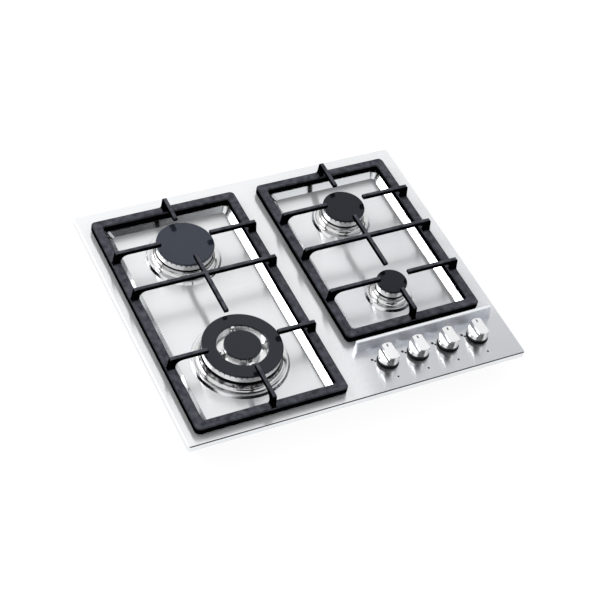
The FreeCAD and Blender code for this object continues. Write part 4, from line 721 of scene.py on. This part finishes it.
@dataclass(frozen=True)
class ThreadedBrass(Finish):
    """Forged brass, tumbled matt, with a cut thread along Y beyond one point.

    The thread's valleys are painted darker, as painted shade.
    """

    thread_from_mm: float
    pitch_mm: float = 1.81
    thread_relief_mm: float = 0.5
    valley_shade_weight: float = 0.6
    grain_mm: float = 0.8
    grain_weight: float = 0.4
    relief_mm: float = 0.004
    roughness: Span = (0.26, 0.38)

    def inputs(self, tree: Tree) -> dict:
        """Feed the Principled shader.

        Args:
            tree: the node tree.

        Returns:
            Its values and feeding sockets, by input name.
        """
        y = axes(tree)[1]
        turn = add(tree, "Math", (y, 2 * math.pi / (self.pitch_mm * MM)), operation="MULTIPLY")
        wave = add(tree, "Math", (turn,), operation="SINE")
        cut = add(tree, "Math", (y, self.thread_from_mm * MM), operation="GREATER_THAN")
        thread = add(tree, "Math", (wave, cut), operation="MULTIPLY")
        grain = cell_noise(tree, self.grain_mm)
        # The thread's valleys painted darker: painted shade.
        valley_shade = add(tree, "MapRange", (thread, -1.0, 1.0, self.valley_shade_weight, 0.0))
        grains = add(tree, "MapRange", (grain, *NOISE, 0.0, self.grain_weight))
        share = add(tree, "Math", (valley_shade, grains), operation="ADD")
        skin = add(tree, "Bump", {"Height": grain, "Distance": self.relief_mm * MM})
        groove = {"Height": thread, "Distance": self.thread_relief_mm * MM, "Normal": skin}
        return {
            "Base Color": add(tree, "Mix", {0: share, 6: self.colour, 7: self.shade}, **COLOURS),
            "Metallic": 1.0,
            "Roughness": add(tree, "MapRange", (grain, *NOISE, *self.roughness)),
            "Normal": add(tree, "Bump", groove),
        }


@dataclass(frozen=True)
class ChromedKnob(Finish):
    """Die-cast knob under bright chrome, satin on top, with a painted shadow band round its foot.
    """

    # Black of the band painted round the foot as the shadow of the gap under the knob.
    foot: str
    painted_shadow_top_mm: float
    peel_mm: float = 2.4
    relief_mm: float = 0.004
    roughness: Span = (0.05, 0.1)
    # The top is satin and scatters a share of the light.
    top_roughness: float = 0.3
    top_metallic: float = 0.4
    # Upward parts of the normal between which the barrel turns into the top.
    top_levels: Span = (0.75, 0.95)
    foot_roughness: float = 0.3

    def inputs(self, tree: Tree) -> dict:
        """Feed the Principled shader.

        Args:
            tree: the node tree.

        Returns:
            Its values and feeding sockets, by input name.
        """
        peel = cell_noise(tree, self.peel_mm)
        level = axes(tree)[2]
        high = add(tree, "Math", (level, self.painted_shadow_top_mm * MM), operation="GREATER_THAN")
        chrome = add(tree, "Mix", {0: peel, 6: self.colour, 7: self.shade}, **COLOURS)
        normal = add(tree, "NewGeometry", out="Normal")
        up = add(tree, "SeparateXYZ", (normal,), "Z")
        top = add(tree, "MapRange", (up, *self.top_levels))
        barrel = add(tree, "MapRange", (peel, *NOISE, *self.roughness))
        smooth = add(tree, "Mix", {0: top, 2: barrel, 3: self.top_roughness})
        metal = add(tree, "MapRange", {0: top, 3: 1.0, 4: self.top_metallic})
        return {
            "Base Color": add(tree, "Mix", {0: high, 6: self.foot, 7: chrome}, **COLOURS),
            "Metallic": add(tree, "Math", (high, metal), operation="MULTIPLY"),
            "Roughness": add(tree, "Mix", {0: high, 2: self.foot_roughness, 3: smooth}),
            "Normal": add(tree, "Bump", {"Height": peel, "Distance": self.relief_mm * MM}),
        }


# Stainless sheet, brushed along the front edge: white with blurred dark reflections. Its front
# right corner is lapped finer, where the knobs mirror sharply. Its walls get painted light and
# shade, and its front bend a painted dark reflection.
PLATE_STEEL = BrushedSheet("brushed_stainless_plate", "#f4f5f7", "#e9eaec", "#eef0f2", "#e2e4e6",
                           bend_mm=(250.0, 1.4), lapped_mm=(-10.0, -170.0, 30.0))
# The same sheet folded into the guard: satin, with short coarse lines and a faintly blue front
# whose tones are painted light and shade for the way it faces.
GUARD_STEEL = BrushedSheet("brushed_stainless_guard", "#f8f9fb", "#eceef1", "#f6f8fd", "#d3d8e2",
                           flat_metallic=0.4, roughness=0.5, wall_roughness=0.5, anisotropy=0.4,
                           line_mm=1.2, line_length_mm=6.0, cloud_mm=5.0)
# Hot-dip galvanised sheet of the tray: dull grey with a spangle of crystals.
TRAY_STEEL = Galvanised("galvanised_sheet", "#bbbfc2", "#aeb2b6")
# Cast iron under matt enamel: near black on the sides, and on the tops painted lighter for the
# light they catch, with charcoal clouds and paler edges, partly wear and partly painted highlight.
IRON = Casting("matt_enamelled_cast_iron", "#020203", "#2e2f35", "#585961")
# Vitreous enamel on steel caps: near black, satin.
CAP_ENAMEL = Enamel("black_vitreous_enamel", "#141519", "#1d1e23")
# The same enamel on the two smaller caps, in a deeper black.
DEEP_ENAMEL = Enamel("deep_black_vitreous_enamel", "#0e0f14", "#15161b", specular=0.28)
# The same enamel on the rapid cap: greyer, with more gloss.
GREY_ENAMEL = Enamel("grey_black_vitreous_enamel", "#1c2029", "#252a34", specular=0.62)
# Zinc-plated steel fasteners: cool, fairly bright, slightly cloudy.
ZINC = Grained("zinc_plated_steel", "#c3c6ca", "#a6a9ae", 0.6, 0.002, 0.28, 1.0)
# Forged brass: warm yellow, matt from tumbling.
BRASS = Grained("forged_brass", "#c9a458", "#a98542", 0.8, 0.004, 0.32, 1.0)
# The gas inlet's brass: the same, with its pipe thread cut beyond the tray's back wall at y 231.
INLET_BRASS = ThreadedBrass("threaded_forged_brass", "#c9a458", "#8f6f34", 231.0)
# Drawn aluminium tube: pale with marks along its length.
TUBE = Grained("drawn_aluminium_tube", "#cfd1d3", "#b4b6b9", 0.4, 0.002, 0.3, 1.0)
# Glazed ceramic sleeve: smooth cream white.
CERAMIC = Grained("glazed_ceramic", "#ece9e1", "#dcd7cb", 0.9, 0.002, 0.16)
# Heat-stained steel probe: straw and grey.
PROBE = Grained("heat_stained_steel", "#a9a49b", "#7f776c", (1.2, 1.2, 3.0), 0.001, 0.3, 1.0)
# Chromed knob: bright, mirrors its neighbours, with a black band round its foot painted as shadow.
KNOB_METAL = ChromedKnob("bright_chromed_knob", "#f7f7f7", "#ececed", "#0c0c0d", 68.2)
# Spark-eroded moulded ABS: matt black.
BLACK_PLASTIC = Grained("moulded_black_plastic", "#111214", "#1b1c1e", 0.5, 0.01, 0.4)
# Spring steel wire: grey with drawing lines.
WIRE = Grained("spring_steel_wire", "#a9acb0", "#85888c", 0.3, 0.001, 0.25, 1.0)
# Moulded nylon housing: dark, satin.
NYLON = Grained("moulded_dark_nylon", "#26282b", "#303236", 0.7, 0.012, 0.45)
# Moulded melamine block: warm cream.
MELAMINE = Grained("moulded_cream_melamine", "#e3dcc8", "#d3cbb4", 0.8, 0.01, 0.35)
# Moulded rubber foot and grommet: dull black with dusty bloom.
RUBBER = Grained("moulded_rubber", "#141414", "#242424", 0.6, 0.02, 0.62, specular=0.3)
# Closed-cell foam strip: dull, pitted.
FOAM = Grained("closed_cell_foam", "#1b1b1c", "#303031", 1.4, 0.12, 0.85, specular=0.2)
# Screen-printed ink on the plate: matt dark grey.
INK = Grained("screen_printed_ink", "#1b1c1f", "#28292c", 0.3, 0.001, 0.55)


class Wardrobe:
    """Builds each finish once and dresses objects in it."""

    def __init__(self) -> None:
        """Start with no material built."""
        self.built: dict[str, bpy.types.Material] = {}

    def dress(self, piece: bpy.types.Object, finish: Finish) -> None:
        """Give a piece one finish all over.

        Args:
            piece: the object to dress.
            finish: the finish it gets.
        """
        if finish.name not in self.built:
            self.built[finish.name] = finish.material()
        piece.data.materials.clear()
        piece.data.materials.append(self.built[finish.name])

    def dress_nodes(self, finishes: dict[str, Finish]) -> None:
        """Give each CAD node one finish all over.

        Args:
            finishes: the nodes' names and the finishes they get.
        """
        for node, finish in finishes.items():
            self.dress(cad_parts[node], finish)
            LOG.info("node %s wears %s", node, finish.name)


WARDROBE = Wardrobe()


# ---- sub-assemblies ----


@dataclass
class PlateAssembly:
    """Top plate with its guard, seal and printed marks."""

    body: str = "hob_body"
    mark_height_mm: float = 0.03
    mark_edge_mm: float = 0.1
    # Name, radius and place from the knob's axis of each dot beside a knob.
    mark_table_mm: tuple[tuple[str, float, Span], ...] = (
        ("knob_side_marks", 2.4, (-23.2, 9.8)),
        ("knob_second_marks", 1.9, (-19.4, 6.0)),
        ("knob_front_marks", 1.8, (1.6, -34.0)),
    )
    segments: int = 20

    def build(self) -> None:
        """Dress the nodes and print the marks."""
        WARDROBE.dress_nodes({
            "top_plate": PLATE_STEEL,
            "worktop_seal": FOAM,
            "knob_guard": GUARD_STEEL,
            "guard_screws": ZINC,
        })
        for name, radius_mm, offset_mm in self.mark_table_mm:
            self.marks(name, radius_mm, offset_mm)

    def marks(self, name: str, radius_mm: float, offset_mm: Span) -> None:
        """Print one dot beside each knob.

        Args:
            name: the piece's name.
            radius_mm: the dot's radius.
            offset_mm: the dot's place from the knob's axis.
        """
        top = PLATE_TOP_MM + self.mark_height_mm
        profile = np.array([
            (radius_mm, PLATE_TOP_MM - self.mark_height_mm),
            (radius_mm, top - self.mark_height_mm / 2),
            (radius_mm - self.mark_edge_mm, top),
            (0.0, top),
        ])
        spots = [(x + offset_mm[0], y + offset_mm[1]) for x, y in KNOB_CENTRES_MM.values()]
        dots = studded(name, profile, spots, self.segments)
        WARDROBE.dress(dots, INK)
        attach(dots, self.body)
        LOG.info("piece %s", name)


@dataclass
class TrayAssembly:
    """Under-tray with its fixings, gas inlet and electrics."""

    nodes: dict[str, Finish] = field(default_factory=lambda: {
        "under_tray": TRAY_STEEL,
        "tray_tabs": TRAY_STEEL,
        "tap_bracket": TRAY_STEEL,
        "tray_screws": ZINC,
        "clamp_inserts": ZINC,
        "gas_rail": TUBE,
        "feed_tubes": TUBE,
        "inlet_elbow": INLET_BRASS,
        "inlet_locknut": BRASS,
        "ignition_module": NYLON,
        "terminal_block": MELAMINE,
        "cable_grommet": RUBBER,
    })

    def build(self) -> None:
        """Dress the nodes."""
        WARDROBE.dress_nodes(self.nodes)


@dataclass
class PanSupports:
    """Both cast pan supports with their feet."""

    sides: tuple[str, ...] = ("left", "right")

    def build(self) -> None:
        """Dress the castings and the feet."""
        for side in self.sides:
            WARDROBE.dress_nodes({f"{side}_pan_support": IRON, f"{side}_support_feet": RUBBER})


@dataclass
class Burners:
    """Four burners with their caps, spreaders, bases, electrodes and probes."""

    base_colours: tuple[str, str] = ("#e2e2e2", "#cfcfd0")
    spreader_colours: tuple[str, str] = ("#ececec", "#d6d6d7")
    wok_colours: tuple[str, str] = ("#f6f6f6", "#e6e6e7")
    wok_roughness: float = 0.2
    # Painted shadow bands: half height of the one at each land, and heights of the one at the
    # flange's foot.
    land_reach_mm: float = 0.1
    flange_foot_mm: Span = (55.9, 56.8)
    wok_stain_and_reflection_mm: Span = (60.5, 66.8)
    nodes: dict[str, Finish] = field(default_factory=lambda: {
        "wok_outer_cap": CAP_ENAMEL,
        "wok_inner_cap": CAP_ENAMEL,
        "small_cap": DEEP_ENAMEL,
        "medium_cap": DEEP_ENAMEL,
        "rapid_cap": GREY_ENAMEL,
        "spark_electrodes": CERAMIC,
        "thermocouples": PROBE,
        "injectors": BRASS,
        "burner_screws": ZINC,
        "burner_nuts": ZINC,
    })

    def build(self) -> None:
        """Dress every burner's nodes."""
        for name in BURNER_CENTRES_MM:
            WARDROBE.dress_nodes({
                f"{name}_burner_base": self.base_finish(name),
                f"{name}_flame_spreader": self.spreader_finish(name),
            })
        WARDROBE.dress_nodes(self.nodes)

    def base_finish(self, name: str) -> Finish:
        """Buffed aluminium, with painted shadow in the open gap and at the flange's foot.

        Args:
            name: the burner's name.

        Returns:
            The finish, with patches of heat staining and painted dark reflection on the wok's base.
        """
        land = (BASE_LAND_MM - self.land_reach_mm, BASE_LAND_MM + self.land_reach_mm)
        return TurnedMetal(f"buffed_cast_aluminium_{name}_base", *self.base_colours,
                           BURNER_CENTRES_MM[name], painted_shadow_mm=(land, self.flange_foot_mm),
                           stain_and_reflection_mm=self.wok_stain_and_reflection_mm if name == "wok" else None)

    def spreader_finish(self, name: str) -> Finish:
        """Buffed aluminium, or blasted on the wok, with painted shadow up to the spreader's step.

        Args:
            name: the burner's name.

        Returns:
            The finish.
        """
        centre = BURNER_CENTRES_MM[name]
        painted_shadow = ((PLATE_TOP_MM, SPREADER_STEP_MM[name] + self.land_reach_mm),)
        if name == "wok":
            return TurnedMetal("blasted_cast_aluminium_wok_spreader", *self.wok_colours, centre,
                               roughness=self.wok_roughness, painted_shadow_mm=painted_shadow)
        return TurnedMetal(f"buffed_cast_aluminium_{name}_spreader", *self.spreader_colours, centre,
                           painted_shadow_mm=painted_shadow)


@dataclass
class TapAndKnob:
    """One tap with its knob, spindle, plug and coil spring."""

    name: str
    centre_mm: Span
    spring_foot_mm: float = 42.0
    spring_height_mm: float = 6.2
    spring_r_mm: float = 3.85
    wire_r_mm: float = 0.4
    turns: float = 4.5
    path_points: int = 160
    wire_segments: int = 8
    pressed_share: float = 0.5
    groove_floor_mm: float = 85.0
    groove_centre_mm: float = 11.25
    inlay_half_mm: Span = (1.05, 2.7)
    inlay_height_mm: float = 0.5
    inlay_sink_mm: float = 0.03
    inlay_edge_mm: float = 0.1
    # Sizes of the crown's outline and of the tiny rings that close the ends, as shares.
    inlay_crown: float = 0.9
    inlay_pole: float = 0.001
    inlay_squareness: float = 8.0
    inlay_points: int = 48

    def build(self) -> None:
        """Dress the nodes, fill the pointer groove and wind the spring."""
        WARDROBE.dress_nodes({
            f"{self.name}_knob": KNOB_METAL,
            f"{self.name}_spindle": ZINC,
            f"{self.name}_tap_plug": BRASS,
        })
        self.inlay()
        self.spring()

    def inlay(self) -> None:
        """Fill the knob's pointer groove with ink.

        The outline is a superellipse: x = a sgn(cos t) |cos t|^(2/p), and y = b sgn(sin t)
        |sin t|^(2/p).
        """
        turn = np.linspace(0.0, 2 * math.pi, self.inlay_points, endpoint=False)
        circle = np.stack([np.cos(turn), np.sin(turn)], axis=-1)
        power = 2 / self.inlay_squareness
        outline = self.inlay_half_mm * np.sign(circle) * np.abs(circle) ** power
        low = self.groove_floor_mm - self.inlay_sink_mm
        high = self.groove_floor_mm + self.inlay_height_mm
        levels = (
            (self.inlay_pole, low),
            (1.0, low),
            (1.0, high - self.inlay_edge_mm),
            (self.inlay_crown, high),
            (self.inlay_pole, high),
        )
        heights = np.ones((len(outline), 1))
        rings = [np.hstack([outline * share, heights * level]) for share, level in levels]
        shift = (self.centre_mm[0], self.centre_mm[1] + self.groove_centre_mm, 0.0)
        points = (np.concatenate(rings) + shift) * MM
        walls = grid_faces(len(levels), len(outline))
        ink = mesh_object(f"{self.name}_pointer_inlay", points, walls)
        WARDROBE.dress(ink, INK)
        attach(ink, f"{self.name}_knob_body")
        LOG.info("piece %s", ink.name)

    def spring(self) -> None:
        """Wind the coil spring that the CAD sleeve stands for.

        Its wire follows a helix: at share s of its length the angle is 2 pi turns s, and the height
        rises evenly from the foot to the head.
        """
        share = np.linspace(0.0, 1.0, self.path_points)
        angle = 2 * math.pi * self.turns * share
        low = self.spring_foot_mm + self.wire_r_mm
        rise = self.spring_height_mm - 2 * self.wire_r_mm
        x = self.centre_mm[0] + self.spring_r_mm * np.cos(angle)
        y = self.centre_mm[1] + self.spring_r_mm * np.sin(angle)
        path = np.stack([x, y, low + rise * share], axis=-1) * MM
        up = np.array([0.0, 0.0, 1.0])
        rings = tube_points(path, self.wire_r_mm * MM, self.wire_segments, up)
        points = np.concatenate([rings, path[:1], path[-1:]])
        around = np.arange(self.wire_segments)
        after = (around + 1) % self.wire_segments
        first = (self.path_points - 1) * self.wire_segments
        tip = np.full_like(around, len(rings))
        foot_end = np.stack([tip, after, around], axis=-1)
        head_end = np.stack([tip + 1, around + first, after + first], axis=-1)
        walls = grid_faces(self.path_points, self.wire_segments)
        coil = mesh_object(f"{self.name}_coil_spring", points, walls, foot_end, head_end)
        WARDROBE.dress(coil, WIRE)
        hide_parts(f"{self.name}_return_spring")
        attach(coil, f"{self.name}_plug_body")
        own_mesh(coil)
        LOG.info("piece %s", coil.name)


@dataclass
class TapTrain:
    """All four taps and the pieces that they share."""

    shared: dict[str, Finish] = field(default_factory=lambda: {
        "knob_bezels": BLACK_PLASTIC,
        "tap_bodies": BRASS,
        "tap_covers": ZINC,
        "tap_screws": ZINC,
        "magnet_units": ZINC,
        "ignition_switches": BLACK_PLASTIC,
    })

    def build(self) -> None:
        """Dress the shared nodes and build each tap."""
        WARDROBE.dress_nodes(self.shared)
        for name, centre in KNOB_CENTRES_MM.items():
            TapAndKnob(name, centre).build()


# ---- studio ----


@dataclass
class Studio:
    """Pale floor, white surround, one soft light, three grey cards and the camera."""

    azimuth_deg: float = -33.77
    elevation_deg: float = 46.93
    roll_deg: float = 11.67
    focal_px: float = 1655.0
    frame_px: float = 600.0
    sensor_mm: float = 36.0
    distance_mm: float = 2700.0
    aside_mm: float = 5.46
    above_mm: float = -25.65
    floor_size: float = 9.0
    # Name, colour and corners of each card: two stand in front, and one hangs over the right side.
    cards: tuple[tuple[str, str, tuple[Triple, ...]], ...] = (
        ("high_card", "#1c1d20",
         ((-0.8, -1.4, 0.9), (1.12, -1.4, 0.9), (1.12, -1.4, 3.9), (-0.8, -1.4, 3.9))),
        ("low_card", "#2c2d31",
         ((-0.9, -1.6, 0.05), (1.7, -1.6, 0.05), (1.7, -1.6, 0.6), (-0.9, -1.6, 0.6))),
        ("ceiling_card", "#cccfd3",
         ((0.6, -0.8, 1.9), (2.4, -0.8, 1.9), (2.4, 1.3, 1.9), (1.06, 1.24, 1.9))),
    )
    key_direction: Triple = (-0.577, 0.568, 0.587)
    key_distance: float = 2.2
    key_size: float = 1.3
    key_power: float = 25.0
    surround_strength: float = 0.9
    floor_glow: float = 0.9
    # Grey of the floor as the eye and mirrors see its shadow, and as it lights the object.
    floor_tone: float = 0.15
    floor_bounce: float = 0.8
    clip_range: Span = (0.1, 50.0)

    def build(self) -> None:
        """Set the stage."""
        self.floor()
        self.hang_cards()
        self.surround()
        self.key_light()
        self.camera()
        bpy.context.scene.view_settings.view_transform = "Standard"

    def seen_directly(self, tree: Tree) -> Socket:
        """1 for camera, glossy and transmission rays, and 0 for others.

        Args:
            tree: the node tree.

        Returns:
            The highest of the three flags.
        """
        flags = add(tree, "LightPath").node.outputs
        pair = (flags["Is Camera Ray"], flags["Is Glossy Ray"])
        first = add(tree, "Math", pair, operation="MAXIMUM")
        return add(tree, "Math", (first, flags["Is Transmission Ray"]), operation="MAXIMUM")

    def floor(self) -> None:
        """Lay the pale floor, which shows white and keeps a soft shadow."""
        half = self.floor_size / 2
        corners = ((-half, -half, 0.0), (half, -half, 0.0), (half, half, 0.0), (-half, half, 0.0))
        tree = self.sheet("studio_floor", "pale_studio_floor", corners)
        plain = add(tree, "BsdfDiffuse", {"Color": (self.floor_bounce,) * 3 + (1.0,)})
        shadow = add(tree, "BsdfDiffuse", {"Color": (self.floor_tone,) * 3 + (1.0,)})
        glow = add(tree, "Emission", {"Color": WHITE, "Strength": self.floor_glow})
        white = add(tree, "AddShader", (shadow, glow))
        mixed = add(tree, "MixShader", (self.seen_directly(tree), plain, white))
        add(tree, "OutputMaterial", {"Surface": mixed})

    def hang_cards(self) -> None:
        """Stand grey cards around, which give the metal its darker reflections."""
        for name, tone, corners in self.cards:
            tree = self.sheet(name, f"matt_grey_{name}", corners)
            add(tree, "OutputMaterial", {"Surface": add(tree, "BsdfDiffuse", {"Color": tone})})
            card = bpy.data.objects[name]
            card.visible_camera = False
            card.visible_shadow = False
            card.visible_diffuse = False

    def sheet(self, name: str, material_name: str, corners: tuple[Triple, ...]) -> Tree:
        """Put up one flat sheet that belongs to the studio.

        Args:
            name: the sheet's name.
            material_name: its material's name.
            corners: its four corners.

        Returns:
            The empty node tree of its material.
        """
        sheet = mesh_object(name, np.array(corners), np.array([(0, 1, 2, 3)]))
        material, tree = new_tree(material_name)
        sheet.data.materials.append(material)
        return tree

    def surround(self) -> None:
        """Light the scene from a white surround."""
        world = bpy.data.worlds.new("white_surround")
        world.use_nodes = True
        tree = world.node_tree
        tree.nodes.clear()
        light = add(tree, "Background", {"Color": WHITE, "Strength": self.surround_strength})
        white = add(tree, "Background", {"Color": WHITE, "Strength": 1.0})
        mixed = add(tree, "MixShader", (self.seen_directly(tree), light, white))
        add(tree, "OutputWorld", {"Surface": mixed})
        bpy.context.scene.world = world

    def key_light(self) -> None:
        """Hang the large soft light at the back left."""
        lamp = bpy.data.lights.new("key_softbox", "AREA")
        lamp.shape = "SQUARE"
        lamp.size = self.key_size
        lamp.energy = self.key_power
        holder = bpy.data.objects.new("key_softbox", lamp)
        direction = Vector(self.key_direction).normalized()
        holder.location = direction * self.key_distance
        holder.rotation_mode = "QUATERNION"
        holder.rotation_quaternion = (-direction).to_track_quat("-Z", "Y")
        bpy.context.scene.collection.objects.link(holder)

    def camera(self) -> None:
        """Set the camera at the photograph's place.

        The camera is aimed at the plate's centre, rolled about its view axis, and then moved aside
        and down in its own picture plane.
        """
        angles = (self.azimuth_deg, self.elevation_deg, self.roll_deg)
        turn, rise, roll = (math.radians(angle) for angle in angles)
        run = math.cos(rise)
        back = Vector((math.sin(turn) * run, -math.cos(turn) * run, math.sin(rise)))
        level = Vector((math.cos(turn), math.sin(turn), 0.0))
        upright = back.cross(level)
        right = level * math.cos(roll) + upright * math.sin(roll)
        up = upright * math.cos(roll) - level * math.sin(roll)
        target = Vector((0.0, 0.0, PLATE_TOP_MM))
        place = target + back * self.distance_mm + right * self.aside_mm + up * self.above_mm
        data = bpy.data.cameras.new("camera")
        data.sensor_width = self.sensor_mm
        data.lens = self.focal_px / self.frame_px * self.sensor_mm
        data.clip_start, data.clip_end = self.clip_range
        holder = bpy.data.objects.new("camera", data)
        bpy.context.scene.collection.objects.link(holder)
        columns = Matrix((right, up, back)).transposed().to_4x4()
        holder.matrix_world = Matrix.Translation(place * MM) @ columns
        bpy.context.scene.camera = holder


def main() -> None:
    """Build every sub-assembly in order, then the studio."""
    logging.basicConfig(level=logging.INFO, format="%(name)s: %(message)s")
    for part in (PlateAssembly(), TrayAssembly(), PanSupports(), Burners(), TapTrain(), Studio()):
        LOG.info("building %s", type(part).__name__)
        part.build()
    bpy.context.view_layer.update()


if __name__ == "__main__":
    main()
